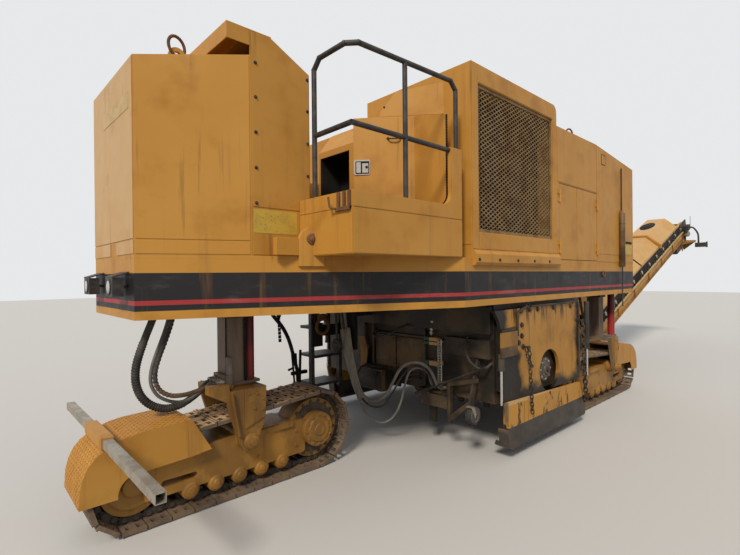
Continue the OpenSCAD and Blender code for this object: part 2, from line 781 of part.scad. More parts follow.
// Track frame with idler, sprocket, final drive and bottom rollers, and its pivot at a distance from its middle
module track_frame(pivot_x) {
    difference() {
        rotate([90, 0, 0]) linear_extrude(track_side, center = true) polygon([
            [-wheel_base / 2 + 60, 160], [wheel_base / 2 - 130, 160], [wheel_base / 2 - 115, 175], [wheel_base / 2 - 115, 425],
            [200, 450], [-200, 430], [-wheel_base / 2 + 60, 380]
        ]);
        translate([-527, -track_side, 240]) rotate([-90, 0, 0]) {
            cylinder(r = slot_r, h = 2 * track_side);
            translate([201, 0, 0]) cylinder(r = slot_r, h = 2 * track_side);
            translate([0, -slot_r, 0]) cube([201, 2 * slot_r, 2 * track_side]);
        }
    }
    translate([-wheel_base / 2, 0, idler_r]) rotate([90, 0, 0])
        cylinder(r = idler_r - shoe_t - chain_t - wheel_gap, h = wheel_w, center = true);
    translate([wheel_base / 2, 0, sprocket_r]) rotate([90, 0, 0])
        cylinder(r = sprocket_r - shoe_t - chain_t - wheel_gap, h = wheel_w, center = true);
    translate([wheel_base / 2, 0, sprocket_r]) rotate([90, 0, 0]) cylinder(r = 138, h = 380, center = true);
    for (i = [0 : 4]) translate([-350 + i * 181, 0, shoe_t + chain_t + 62 + seat]) rotate([90, 0, 0])
        cylinder(r = 62, h = track_side - 24, center = true);
    translate([pivot_x, 0, track_pivot_z]) rotate([90, 0, 0]) {
        cylinder(r = 75, h = 2 * (yoke_in - seat), center = true);
        cylinder(r = pivot_r, h = 2 * (yoke_in + yoke_t + 25), center = true);
    }
}

column_top = 2100;
lift_top = 1900;
foot_t = 20;

foot_lip = 10;          // how far the foot stands out round the column and the lift cylinder

// A column and its lift cylinder on one foot plate
module leg_column(lift) {
    half = column_w / 2;
    foot_0 = [min(-half, lift.x - lift_r), min(-half, lift.y - lift_r)] - [foot_lip, foot_lip];
    foot_1 = [max(half, lift.x + lift_r), max(half, lift.y + lift_r)] + [foot_lip, foot_lip];
    translate([-half, -half, foot_z]) cube([column_w, column_w, column_top - foot_z]);
    translate([foot_0.x, foot_0.y, foot_z]) cube([foot_1.x - foot_0.x, foot_1.y - foot_0.y, foot_t]);
    translate([lift.x, lift.y, foot_z + foot_t - 1]) cylinder(r = lift_r, h = lift_top - foot_z);
}

manifold_s = 960;       // station of the front face of the block that takes the hoses' ends

module front_column() color(rust) at_origin() {
    leg_place() difference() {
        leg_column(front_lift);
        translate([0, 0, foot_z - 1]) cylinder(r = kingpin_r + play, h = kingpin_h + 2);
    }
    block(manifold_s, front_leg_x - column_w / 2 + 1, -150, 50, foot_z + foot_t - 1, 885);
}

yoke_top = foot_z - seat;

// Fork that holds a track between two plates, hung under a leg's foot
module yoke_plates(edge) difference() {
    union() {
        translate([-160, -yoke_in - yoke_t, yoke_top - 40]) cube([160 + edge, 2 * (yoke_in + yoke_t), 40]);
        for (side = [-1, 1]) translate([0, side * (yoke_in + yoke_t / 2) + yoke_t / 2, 0]) rotate([90, 0, 0]) linear_extrude(yoke_t)
            polygon([
                [-160, yoke_top], [edge, yoke_top], [edge - 13, 530], [min(edge - 13, 100), 430], [85, 340], [-20, 340],
                [-55, 400], [-145, 700]
            ]);
    }
    translate([track_dx + track_pivot_x, 0, track_pivot_z]) rotate([90, 0, 0])
        cylinder(r = pivot_r + play, h = 2 * (yoke_in + yoke_t) + 2, center = true);
}

module rear_leg(side) leg_place(side) {
    leg_column(lift_at(side));
    translate([-80, -80, yoke_top - 5]) cube([160, 160, 10]);
    yoke_plates(100);
}

module rear_leg_near() color(rust) at_origin() rear_leg(-1);
module rear_leg_far() color(rust) at_origin() rear_leg(1);

// Steered fork of the front track
module front_yoke() color(yellow) at_origin() leg_place() {
    yoke_plates(160);
    translate([0, 0, yoke_top - 1]) cylinder(r = kingpin_r, h = kingpin_h);
    across(-yoke_in - 30, -yoke_in + 30)
        polygon([[-282, 788], [-282, 848], [-136, 840], [-126, yoke_top - 1], [-126, 700]]);
}

module front_track() color(rust) at_origin() translate([track_x0, 0, 0]) track_loop();

module front_track_frame() color(yellow) at_origin() translate([track_x0, 0, 0]) track_frame(track_pivot_x);

fender_t = 8;
fender_in = shoe_w / 2 + 12;
bar_s = 150;            // station of the guide bar's front face
bar_z = 604;
bar_w = 50;
bar_wall = 4;
sleeve_wall = 9;

// Outline of the fender over the front end of the track, from the idler's axle. Its sheet follows this line
fender_line = [
    [-317, -15], [-311, 95], [-295, 165], [-267, 225], [-230, 268], [-187, 299], [-128, 328], [-62, 350], [20, 362], [105, 366],
    [340, 373]
];

module fender_outline() polygon(concat(fender_line, [[475, 140], [340, 124], [45, 110]]));

// Fender plate with its two side plates, cut out round the idler
module fender() {
    across(-fender_in - fender_t, fender_in + fender_t) translate(idler_c) difference() {
        fender_outline();
        offset(delta = -fender_t) fender_outline();
        polygon([[-308, -30], [-300, 100], [-60, 330], [330, 362], [400, 362], [600, 0], [0, -60]]);
    }
    mirrored_y() {
        across(fender_in, fender_in + fender_t) translate(idler_c) difference() {
            union() {
                fender_outline();
                polygon([[-317, -15], [-311, 95], [46, 111], [-100, -15]]);
            }
            circle(r = 112);
        }
        translate([idler_c.x + 300, track_side / 2 + seat, idler_c.y + 122])
            cube([100, fender_in - track_side / 2 + 1, 30]);
    }
}

module front_fender() color(yellow) at_origin() translate([track_x0, 0, 0]) fender();

// Sleeve of the guide bar on the fender, with its two stays
module bar_sleeve() color(yellow) at_origin() {
    out = sleeve_wall + seat;
    difference() {
        union() {
            block(bar_s - out, bar_s + bar_w + out, -260, 170, bar_z - out, bar_z + bar_w + out);
            for (y = [-200, 100]) block(bar_s + 4, bar_s + bar_w - 4, y, y + 30, idler_c.y + 200, bar_z - out + 1);
        }
        block(bar_s - seat, bar_s + bar_w + seat, -261, 171, bar_z - seat, bar_z + bar_w + seat);
        across(-261, 171) translate([track_x0, 0] + idler_c) offset(delta = seat) fender_outline();
    }
}

module guide_bar() color(dark) at_origin() difference() {
    block(bar_s, bar_s + bar_w, -1180, 850, bar_z, bar_z + bar_w);
    block(bar_s + bar_wall, bar_s + bar_w - bar_wall, -1181, 851, bar_z + bar_wall, bar_z + bar_w - bar_wall);
}

rear_track_dx = -125;   // from a rear leg's axis to the middle of its track

// A rear track runs with its idler and its fender to the rear
module rear_track_place(side)
    translate([rear_leg_x + rear_track_dx, side * rear_track_y, 0]) mirror([1, 0, 0]) children();

rear_pivot_x = rear_track_dx - track_dx - track_pivot_x;

module rear_track_near() color(rust) at_origin() rear_track_place(-1) track_loop();
module rear_track_far() color(rust) at_origin() rear_track_place(1) track_loop();
module rear_track_frame_near() color(yellow) at_origin() rear_track_place(-1) track_frame(rear_pivot_x);
module rear_track_frame_far() color(yellow) at_origin() rear_track_place(1) track_frame(rear_pivot_x);
module rear_fender_near() color(yellow) at_origin() rear_track_place(-1) fender();
module rear_fender_far() color(yellow) at_origin() rear_track_place(1) fender();

// Hoses that hang from the deck to the front leg. Each route is a list of station, y and z
hose_flange_t = 15;
wide_d = 58;
wide_route = [
    [570, 0, 1700], [570, 0, 1600], [565, 0, 1500], [545, 0, 1410], [510, 0, 1310], [470, 0, 1210], [430, 0, 1100],
    [405, 0, 1000], [405, 0, 900], [435, 0, 810], [495, 0, 740], [575, 0, 700], [650, 0, 695], [720, 0, 710],
    [790, 0, 745], [845, 0, 785], [895, 0, 820], [930, 0, 840], [960, 0, 840]
];
wrapped_d = 34;
wrapped_route = [
    [600, -210, 1700], [600, -210, 1600], [600, -210, 1500], [585, -210, 1390], [560, -210, 1290], [525, -210, 1190],
    [490, -210, 1100], [465, -210, 1020], [460, -210, 950], [480, -210, 890], [520, -210, 850], [575, -205, 825],
    [640, -190, 815], [710, -170, 815], [780, -150, 820], [850, -130, 830], [910, -120, 840], [960, -120, 840]
];
grey_d = 23;
grey_route = [
    [600, -150, 1700], [600, -150, 1600], [595, -150, 1500], [580, -150, 1390], [555, -150, 1290], [520, -150, 1190],
    [485, -150, 1100], [460, -150, 1020], [450, -150, 950], [460, -150, 890], [500, -150, 825], [580, -145, 775],
    [670, -130, 755], [750, -105, 770], [820, -85, 800], [880, -70, 835], [920, -65, 850], [960, -65, 850]
];

// Hoses that hang under the frame and go in loops to the drum housing's front wall
thick_d = 28;
thick_route = [
    [2500, 400, 1700], [2500, 400, 1600], [2500, 395, 1480], [2500, 380, 1350], [2500, 355, 1210], [2500, 325, 1060],
    [2500, 285, 900], [2500, 235, 740], [2500, 185, 600], [2500, 135, 500], [2500, 75, 425], [2505, 0, 390],
    [2515, -90, 395], [2530, -175, 440], [2550, -235, 520], [2570, -280, 615], [2590, -325, 705], [2615, -385, 770],
    [2650, -455, 800], [2690, -525, 790], [2725, -580, 745], [2755, -605, 680], [2780, -610, 625], [2810, -610, 580],
    [2845, -610, 555], [2880, -610, 545], [box_front, -610, 545]
];
thin_d = 18;
thin_route = [
    [2500, 430, 1700], [2500, 430, 1600], [2500, 425, 1480], [2500, 415, 1350], [2500, 390, 1210], [2500, 355, 1060],
    [2500, 320, 900], [2500, 275, 740], [2500, 220, 590], [2500, 165, 475], [2500, 95, 385], [2505, 5, 340],
    [2515, -90, 335], [2530, -180, 370], [2550, -240, 450], [2575, -285, 535], [2600, -320, 615], [2630, -360, 685],
    [2655, -410, 740], [2685, -470, 760], [2715, -525, 735], [2745, -560, 680], [2770, -570, 620], [2805, -570, 570],
    [2860, -570, 545], [box_front, -570, 545]
];
low_d = 20;
low_route = [
    [2500, 460, 1700], [2500, 460, 1600], [2500, 455, 1480], [2500, 445, 1350], [2500, 420, 1210], [2500, 390, 1060],
    [2500, 350, 900], [2500, 310, 740], [2500, 260, 600], [2500, 205, 470], [2500, 130, 345], [2500, 45, 260],
    [2505, -55, 210], [2515, -160, 200], [2535, -250, 240], [2555, -315, 315], [2580, -350, 405], [2605, -360, 490],
    [2630, -365, 570], [2655, -370, 645], [2675, -380, 690], [2695, -410, 725], [2720, -455, 735], [2745, -500, 725],
    [2765, -530, 690], [2780, -540, 650], [2795, -540, 605], [2825, -540, 570], [2870, -540, 545], [box_front, -540, 545]
];

function along(route, i) = unit(route[min(i + 1, len(route) - 1)] - route[max(i - 1, 0)]);

// A ring of points round one point of a route. The line ref runs along the hose nowhere
function hose_ring(p, dir, ref, r, sides) = let (up = unit(cross(dir, ref)), side = cross(up, dir))
    [for (k = [0 : sides - 1]) p + r * (cos(360 * k / sides) * up + sin(360 * k / sides) * side)];

module hose(route, d, ref = [0, 1, 0]) {
    sides = 10;
    last = (len(route) - 1) * sides;
    polyhedron(
        [for (i = [0 : len(route) - 1]) each hose_ring(route[i], i == 0 ? [0, 0, -1] : along(route, i), ref, d / 2, sides)],
        [
            [for (k = [0 : sides - 1]) sides - 1 - k],
            for (i = [0 : len(route) - 2], k = [0 : sides - 1]) let (a = i * sides + k, b = i * sides + (k + 1) % sides)
                each [[a, b, b + sides], [a, b + sides, a + sides]],
            [for (k = [0 : sides - 1]) last + k]
        ]
    );
}

module hose_wide() color(dark) at_origin() hose(wide_route, wide_d);
module hose_wrapped() color(dark) at_origin() hose(wrapped_route, wrapped_d);
module hose_grey() color(dark) at_origin() hose(grey_route, grey_d);
module drum_hose_thick() color(dark) at_origin() hose(thick_route, thick_d, [1, 1, 0]);
module drum_hose_thin() color(dark) at_origin() hose(thin_route, thin_d, [1, 1, 0]);
module drum_hose_low() color(dark) at_origin() hose(low_route, low_d, [1, 1, 0]);

// Trough that carries the millings from the housing up to the loading conveyor
module primary_conveyor() color(dark) at_origin() {
    difference() {
        across(-380, 380) polygon([
            [box_rear + seat, 560], [box_rear + seat, 900], [6300, 1330], [6460, 1330], [6460, 1050], [box_rear + 300, 560]
        ]);
        across(-365, 365) polygon([
            [box_rear - 1, 575], [box_rear - 1, 885], [6303, 1315], [6461, 1315], [6461, 1066], [box_rear + 297, 575]
        ]);
    }
    mirrored_y() block(frame_rear - frame_wall - 45, frame_rear - frame_wall - seat, 379, 400, 1150, frame_top - deck_t - seat);
}

hitch_y = 520;
trunnion_r = 40;
turn_pin_r = 50;

// Arms from the frame's rear that carry the loading conveyor's turntable
module conveyor_hitch() color(yellow) at_origin() {
    mirrored_y() across(hitch_y, hitch_y + 40) polygon([
        [frame_rear + seat, 1700], [frame_rear + 120, 1700], [conveyor_x + 80, 320], [conveyor_x + 80, 200], [conveyor_x - 80, 200],
        [frame_rear + seat, 1360]
    ]);
    difference() {
        block(conveyor_x - 80, conveyor_x + 80, -hitch_y - 1, hitch_y + 1, 200, 240);
        translate([conveyor_x, 0, 180]) cylinder(r = turn_pin_r + play, h = 80);
    }
}

module conveyor_turntable() color(yellow) at_origin() {
    translate([conveyor_x, 0, 240 + seat]) cylinder(r = 150, h = 40);
    block(conveyor_x - 90, conveyor_x + 90, -440, 440, 240 + seat + 10, 300);
    difference() {
        mirrored_y() block(conveyor_x - 60, conveyor_x + 60, conveyor_w / 2 + 10, conveyor_w / 2 + 40, 260, conveyor_z + 60);
        bar_y(conveyor_x, conveyor_z, trunnion_r + play, -half_w, half_w);
    }
    translate([conveyor_x, 0, 180]) cylinder(r = turn_pin_r, h = 80);
}

// The conveyor is drawn along its own slope, with u from the pivot towards the head
module on_conveyor() translate([conveyor_x, 0, conveyor_z]) rotate([0, -conveyor_rise, 0]) children();

belt_r = head_r - 50;
belt_t = 12;
belt_w = 600;
belt_tail = 150;        // from the pivot back to the tail pulley

module conveyor_frame() color(yellow) at_origin() on_conveyor() {
    mirrored_y() {
        translate([-300, conveyor_w / 2 - 20, -side_h / 2]) cube([conveyor_len + 300 - 120, 20, side_h]);
        for (z = [-side_h / 2, side_h / 2 - 12])
            translate([-300, conveyor_w / 2 - 70, z]) cube([conveyor_len + 300 - 120, 60, 12]);
        rotate([-90, 0, 0]) translate([0, 0, conveyor_w / 2 - 1]) cylinder(r = trunnion_r, h = 38);
    }
    for (u = [300, 1500, 2700, 3900, 5100])
        translate([u, -conveyor_w / 2 + 10, -side_h / 2]) cube([80, conveyor_w - 20, side_h / 2 - belt_r - seat]);
    for (u = [-belt_tail, conveyor_len - 200]) translate([u, 0, 0]) rotate([90, 0, 0]) {
        cylinder(r = belt_r - belt_t - seat, h = belt_w + 10, center = true);
        cylinder(r = 30, h = conveyor_w - 10, center = true);
    }
}

module belt_shape(r) {
    translate([-belt_tail, 0]) circle(r = r);
    translate([-belt_tail, -r]) square([conveyor_len - 200 + belt_tail, 2 * r]);
    translate([conveyor_len - 200, 0]) circle(r = r);
}

module conveyor_belt() color(dark) at_origin() on_conveyor() rotate([90, 0, 0])
    linear_extrude(belt_w, center = true) difference() {
        belt_shape(belt_r);
        belt_shape(belt_r - belt_t);
    }

module conveyor_covers() color(yellow) at_origin() on_conveyor()
    for (run = [[300, 2900], [2960, 5600]])
        translate([run[0], 0, side_h / 2 + seat]) rotate([90, 0, 90]) linear_extrude(run[1] - run[0]) difference() {
            polygon([[-400, 0], [-400, 40], [-180, cover_h], [180, cover_h], [400, 40], [400, 0]]);
            polygon([[-394, -1], [-394, 37], [-177, cover_h - 6], [177, cover_h - 6], [394, 37], [394, -1]]);
        }

module conveyor_head() color(dark) at_origin() on_conveyor() {
    mirrored_y() translate([conveyor_len - 120 + seat, conveyor_w / 2 - 20, -side_h / 2]) cube([240, 20, side_h]);
}

main_frame();
deck_plate();
leg_sleeves();
front_tower();
tower_housing();
air_scoop();
operator_platform();
handrail();
console();
water_tank();
cooler_housing();
cooler_mesh();
cooler_core();
side_hood();
engine_hood();
engine_block();
door_near_front();
door_near_rear();
door_far_front();
door_far_rear();
front_lamps();
ladder();
marker_tube();
drum_housing();
side_plate_near();
side_plate_far();
skid_near();
skid_far();
cutting_drum();
moldboard();
grade_arm();
grade_wheel();
hose_wide();
hose_wrapped();
hose_grey();
drum_hose_thick();
drum_hose_thin();
drum_hose_low();
rear_fender_near();
rear_fender_far();
front_column();
front_yoke();
front_track();
front_track_frame();
front_fender();
bar_sleeve();
guide_bar();
rear_leg_near();
rear_track_near();
rear_track_frame_near();
rear_leg_far();
rear_track_far();
rear_track_frame_far();
primary_conveyor();
conveyor_hitch();
conveyor_turntable();
conveyor_frame();
conveyor_belt();
conveyor_covers();
conveyor_head();
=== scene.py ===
# %% [markdown]
# # A cold planer milling machine
# The real machine peels old asphalt off a road. A toothed drum under its belly cuts the
# surface, a belt carries the millings to a lorry, and three crawler tracks on lifting legs
# carry it. The solids come from the CAD model as a fixed frame, and this lesson dresses
# them: worn paint, sheet seams, bolts, hoses, track shoes and rust.

# %% Load the fixed frame
import math
import bpy
import bmesh
from mathutils import Matrix, Vector


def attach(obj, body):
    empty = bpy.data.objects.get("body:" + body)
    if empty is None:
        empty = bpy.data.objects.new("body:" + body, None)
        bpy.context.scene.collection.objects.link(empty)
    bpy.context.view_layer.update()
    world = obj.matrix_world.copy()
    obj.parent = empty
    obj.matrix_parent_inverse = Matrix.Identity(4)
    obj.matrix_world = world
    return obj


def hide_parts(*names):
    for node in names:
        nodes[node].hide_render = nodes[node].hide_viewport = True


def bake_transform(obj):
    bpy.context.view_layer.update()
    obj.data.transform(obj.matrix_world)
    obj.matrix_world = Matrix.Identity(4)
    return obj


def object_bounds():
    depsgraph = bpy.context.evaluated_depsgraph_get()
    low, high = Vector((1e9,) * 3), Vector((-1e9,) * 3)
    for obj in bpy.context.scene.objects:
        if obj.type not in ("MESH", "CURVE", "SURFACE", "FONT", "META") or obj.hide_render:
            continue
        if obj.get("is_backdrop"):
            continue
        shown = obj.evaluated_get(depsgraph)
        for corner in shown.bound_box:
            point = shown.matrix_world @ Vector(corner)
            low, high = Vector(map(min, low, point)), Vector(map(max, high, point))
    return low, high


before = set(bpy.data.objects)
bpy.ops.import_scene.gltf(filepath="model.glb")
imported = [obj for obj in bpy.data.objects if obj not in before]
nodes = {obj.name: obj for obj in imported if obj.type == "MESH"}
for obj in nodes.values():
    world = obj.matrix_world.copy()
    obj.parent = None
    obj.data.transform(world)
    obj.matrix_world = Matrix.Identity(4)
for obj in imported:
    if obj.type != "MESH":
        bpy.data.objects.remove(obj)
cad_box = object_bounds()

# %% [markdown]
# Blender counts in metres, but small parts are easier to write in millimetres. Along the
# machine it is handy to count stations from the foremost point, as its drawings do, so two
# small functions turn millimetres and stations into places.

# %% Stations
ORIGIN_STATION = 6.3488
NOSE_FRONT, NOSE_END = 274, 2355
NOSE_HALF, HALF_WIDTH = 460, 1245


def st(station):
    """X in metres of a station in mm."""
    return station / 1000 - ORIGIN_STATION


def at(station, y, z):
    """A place in metres from a station, a y and a height in mm."""
    return Vector((st(station), y / 1000, z / 1000))


def nose_y(station):
    """Half width of the tapered nose at a station, in mm."""
    return NOSE_HALF + (station - NOSE_FRONT) * (HALF_WIDTH - NOSE_HALF) / (NOSE_END - NOSE_FRONT)


# %% [markdown]
# The camera comes first. The photograph was taken at eye height with a wide lens, close to
# the front left corner, so the rails run steeply together. The camera's axes are written
# out as the columns of a matrix, because a lens this wide forgives no small error.

# %% Camera
EYE = Vector((-6.8488, -3.28, 1.6))


def link(thing):
    bpy.context.scene.collection.objects.link(thing)
    return thing


camera_data = bpy.data.cameras.new("photo camera")
camera_data.lens = 22.12
camera_data.sensor_width = 36.0
camera = link(bpy.data.objects.new("photo camera", camera_data))
view_dir = Vector((0.679, 0.734, -0.003)).normalized()
view_right = view_dir.cross(Vector((0.009, -0.004, 1.0))).normalized()
view_up = view_right.cross(view_dir).normalized()
axes = Matrix((view_right, view_up, -view_dir)).transposed()
camera.matrix_world = Matrix.Translation(EYE) @ axes.to_4x4()
bpy.context.scene.camera = camera
print("camera stands", round(EYE.xy.length, 2), "m from the machine's middle")

# %% [markdown]
# Finishes are small node trees. Three building blocks repeat in all of them: a noise that
# may be stretched into streaks, a ramp that turns noise into a mask, and a mix that lays
# one colour over another. Worn paint is then a stack: mottled paint, pale faded patches,
# brown streaks that run down, and rust that breaks through in specks. Colours are written
# in thousandths.

# %% Building blocks for finishes
class Finish:
    """A material whose colour is stacked in layers over Object coordinates."""

    def __init__(self, name, metallic=0.0):
        self.mat = bpy.data.materials.new(name)
        self.mat.use_nodes = True
        self.tree = self.mat.node_tree
        self.shader = self.tree.nodes["Principled BSDF"]
        for socket, value in (("Roughness", 0.6), ("Metallic", metallic), ("Specular IOR Level", 0.3)):
            self.shader.inputs[socket].default_value = value
        self.coords = self.node("ShaderNodeTexCoord").outputs["Object"]
        self.colour = None

    def node(self, kind, **settings):
        made = self.tree.nodes.new(kind)
        for key, value in settings.items():
            setattr(made, key, value)
        return made

    def plug(self, value, socket):
        if isinstance(value, bpy.types.NodeSocket):
            self.tree.links.new(value, socket)
        elif socket.type == "RGBA":
            socket.default_value = (*(c / 1000 for c in value), 1)
        else:
            socket.default_value = value

    def noise(self, scale, detail=4.0, stretch=(1, 1, 1), roughness=0.55, shift=(0, 0, 0)):
        place = self.node("ShaderNodeMapping")
        place.inputs["Scale"].default_value = stretch
        place.inputs["Location"].default_value = shift
        self.plug(self.coords, place.inputs["Vector"])
        grain = self.node("ShaderNodeTexNoise")
        for socket, value in (("Scale", scale), ("Detail", detail), ("Roughness", roughness)):
            grain.inputs[socket].default_value = value
        self.plug(place.outputs["Vector"], grain.inputs["Vector"])
        return grain.outputs["Fac"]

    def mask(self, value, low, high, top=1.0):
        """0 below low, top above high."""
        span = self.node("ShaderNodeMapRange", interpolation_type="SMOOTHSTEP")
        self.plug(value, span.inputs["Value"])
        for socket, limit in (("From Min", low), ("From Max", high), ("To Max", top)):
            span.inputs[socket].default_value = limit
        return span.outputs["Result"]

    def math(self, operation, a, b=0.5):
        step = self.node("ShaderNodeMath", operation=operation)
        self.plug(a, step.inputs[0])
        self.plug(b, step.inputs[1])
        return step.outputs[0]

    def add(self, a, b):
        return self.math("ADD", a, b)

    def less(self, a, b):
        return self.math("SUBTRACT", a, b)

    def times(self, a, b):
        return self.math("MULTIPLY", a, b)

    def mix(self, factor, under, over):
        blend = self.node("ShaderNodeMix", data_type="RGBA")
        for value, socket in ((factor, "Factor"), (under, 6), (over, 7)):
            self.plug(value, blend.inputs[socket])
        return blend.outputs[2]

    def cover(self, factor, over):
        """Lays a colour over the stack where the factor is 1."""
        self.colour = self.mix(factor, self.colour, over)

    def spots(self, over, low, high, top, *grain, **more):
        """Lays a colour over the stack where a noise is high."""
        self.cover(self.mask(self.noise(*grain, **more), low, high, top), over)

    def facing_up(self):
        """How far the surface looks up, from -1 to 1, in the object's own space."""
        split = self.node("ShaderNodeSeparateXYZ")
        self.plug(self.node("ShaderNodeTexCoord").outputs["Normal"], split.inputs[0])
        return split.outputs["Z"]

    def axis(self, letter):
        split = self.node("ShaderNodeSeparateXYZ")
        self.plug(self.coords, split.inputs[0])
        return split.outputs[letter]

    def between(self, value, low, high, soft=0.001):
        up = self.mask(value, low - soft, low + soft)
        return self.less(up, self.mask(value, high - soft, high + soft))

    def done(self, rough, bump, depth):
        self.plug(self.colour, self.shader.inputs["Base Color"])
        self.plug(rough, self.shader.inputs["Roughness"])
        relief = self.node("ShaderNodeBump")
        relief.inputs["Distance"].default_value = depth
        relief.inputs["Strength"].default_value = 0.6
        self.plug(bump, relief.inputs["Height"])
        self.plug(relief.outputs["Normal"], self.shader.inputs["Normal"])
        return self.mat


OCHRE, OCHRE_PALE, OCHRE_DEEP = (470, 207, 22), (580, 295, 62), (330, 125, 12)
BLEACHED, GRIME, RUST, OIL = (620, 410, 200), (75, 45, 22), (150, 55, 18), (18, 14, 11)
NEAR_BLACK, STRIPE_RED = (13, 12, 13), (360, 35, 35)
BAND, STRIPE = (1.408, 1.630), (1.442, 1.469)
print("paint colours ready")

# %% [markdown]
# The paint is a faded ochre. Old machines are never dirty evenly: stains run down from
# edges, and the lower a panel hangs, the more oil it carries. Each paint therefore gets its
# own amount of grime, and the paints of low parts also get a broad darker brown tone, which
# is painted shade. The frame's paint also carries the black band and the red stripe, which
# are masks on height with a worn border.

# %% Worn ochre paint
def ochre_paint(name, grime=0.15, rust=0.5, pale=0.5, band=False, bleach=0, shade_tone=0, oil=0,
                own_dirt=None):
    f = Finish(name)
    f.colour = f.mix(f.noise(1.6, 3), OCHRE, OCHRE_PALE)
    f.spots(OCHRE_PALE, 0.45, 0.7, pale, 0.9, 4, shift=(7, 2, 1))
    f.spots(OCHRE_DEEP, 0.48, 0.75, 0.55, 3.5, 6, shift=(1, 5, 9))
    if bleach:
        f.spots(BLEACHED, 0.25, 0.6, bleach, 1.3, 7, shift=(2, 7, 4))
    if band:
        z = f.axis("Z")
        wear = f.noise(5, 8, stretch=(0.5, 0.5, 1.6), roughness=0.7)
        black = f.mix(f.mask(wear, 0.54, 0.66, 0.3), NEAR_BLACK, (85, 80, 75))
        f.cover(f.between(z, *BAND), black)
        red = f.mix(f.mask(wear, 0.5, 0.7, 0.6), STRIPE_RED, (420, 120, 100))
        f.cover(f.between(z, *STRIPE), red)
    f.spots((270, 135, 40), 0.56, 0.78, 0.35 + grime, 7, 5, stretch=(1.6, 1.6, 0.12), shift=(3, 3, 3))
    f.spots(GRIME, 0.62, 0.74, 0.35 * rust + grime, 16, 6, stretch=(1.2, 1.2, 0.07), shift=(9, 4, 2))
    f.spots(GRIME, 0.62 - 0.3 * grime, 0.8, 0.3 + grime, 2.2, 8, roughness=0.65, shift=(5, 8, 1))
    # painted shade: a broad, nearly even darker brown tone laid over the whole paint of low parts, side plates and
    # fenders
    if shade_tone:
        f.spots((135, 75, 26), 0.1, 0.7, shade_tone, 1.1, 5, shift=(6, 1, 2))
    if oil:
        f.spots(OIL, 0.47, 0.56, oil, 2.1, 9, stretch=(1, 1, 0.55), roughness=0.62, shift=(1, 9, 6))
    if own_dirt:
        own_dirt(f)
    f.spots(RUST, 0.72 - 0.04 * rust, 0.76 - 0.04 * rust, 0.85, 34, 8, roughness=0.7)
    rough = f.add(f.times(f.noise(9, 5), 0.35), 0.34)
    return f.done(rough, f.add(f.noise(2.5, 2), f.times(f.noise(90, 3), 0.06)), 0.004)


paint = ochre_paint("ochre paint")
paint_band = ochre_paint("ochre frame paint with band", band=True)
# low parts: more grime, rust and oil, and the darker tone that is painted shade
paint_low = ochre_paint("ochre paint, dirty, with painted shade", grime=0.34, rust=1.0, pale=0.2, shade_tone=0.6, oil=0.35)
paint_deck = ochre_paint("ochre deck paint", grime=0.3, rust=0.8)
paint_front = ochre_paint("ochre paint, bleached", pale=0.3, bleach=0.75)
paint_fender = ochre_paint("ochre fender paint", grime=0.12, rust=0.8, pale=0.9, shade_tone=0.06)
paint_cover = ochre_paint("ochre cover paint", grime=0.02, rust=0.3, pale=0.9, bleach=0.55)
print("ochre paints:", [m.name for m in bpy.data.materials if m.name.startswith("ochre")])

# %% [markdown]
# The side plate and the skid have dirt of their own. Oil creeps in from the plate's edges,
# out of the round hole and down from the bolts, so its mask is made of distances with a
# noise taken off. The skid is yellow only above a sharp line, where its bare sole begins.

# %% Dirt of the side plate and the skid
HUB_S, HUB_Z = 3780, 675


def plate_dirt(f):
    x, z = f.axis("X"), f.axis("Z")
    dx, dz = f.less(x, st(HUB_S)), f.less(z, HUB_Z / 1000)
    from_hub = f.math("SQRT", f.add(f.times(dx, dx), f.times(dz, dz)))
    free = f.add(f.less(x, st(3190)), f.mask(z, 0.88, 1.02, 0.22))
    free = f.math("MINIMUM", free, f.less(st(4430), x))
    free = f.math("MINIMUM", free, f.math("MINIMUM", f.less(z, 0.52), f.less(from_hub, 0.095)))
    creep = f.times(f.noise(3.4, 8, roughness=0.62, shift=(1, 9, 6)), 0.34)
    f.cover(f.less(1.0, f.mask(f.less(free, creep), -0.17, -0.06, 0.96)), OIL)
    drips = f.mask(f.noise(7, 6, stretch=(1.4, 1.4, 0.22), shift=(4, 4, 8)), 0.50, 0.60, 0.85)
    f.cover(f.times(drips, f.mask(z, 1.10, 1.26)), OIL)


def skid_dirt(f):
    x, z = f.axis("X"), f.axis("Z")
    f.spots((30, 18, 12), 0.545, 0.59, 0.92, 10, 9, stretch=(1, 1, 0.4), roughness=0.72, shift=(3, 3, 1))
    f.cover(f.mask(f.add(z, f.times(f.noise(5, 6), 0.04)), 0.497, 0.505, 0.7), BLEACHED)
    worn = f.mask(f.noise(4, 8, stretch=(0.6, 1, 1.2), roughness=0.7), 0.35, 0.72)
    sole = f.mix(worn, (40, 34, 30), (95, 75, 58))
    f.cover(f.less(1.0, f.mask(f.add(z, f.times(f.noise(4, 3), 0.012)), 0.296, 0.301)), sole)
    nose = f.less(1.0, f.mask(x, st(2963), st(2972)))
    f.cover(nose, f.mix(f.noise(20, 6), (340, 220, 120), (100, 60, 35)))


paint_plate = ochre_paint("ochre side plate paint", grime=0.3, rust=1.0, pale=0.3, shade_tone=0.15,
                          own_dirt=plate_dirt)
paint_skid = ochre_paint("ochre skid paint", grime=0.25, rust=1.0, pale=0.3, own_dirt=skid_dirt)
print("dirt on", paint_plate.name, "and", paint_skid.name)

# %% [markdown]
# Bare and rubber finishes follow the same recipe with fewer layers: a base, blotches of a
# second colour in some amount and size, and specks of a third. Track steel is brown from
# rust where nothing rubs, with pale dust on every face that looks up.

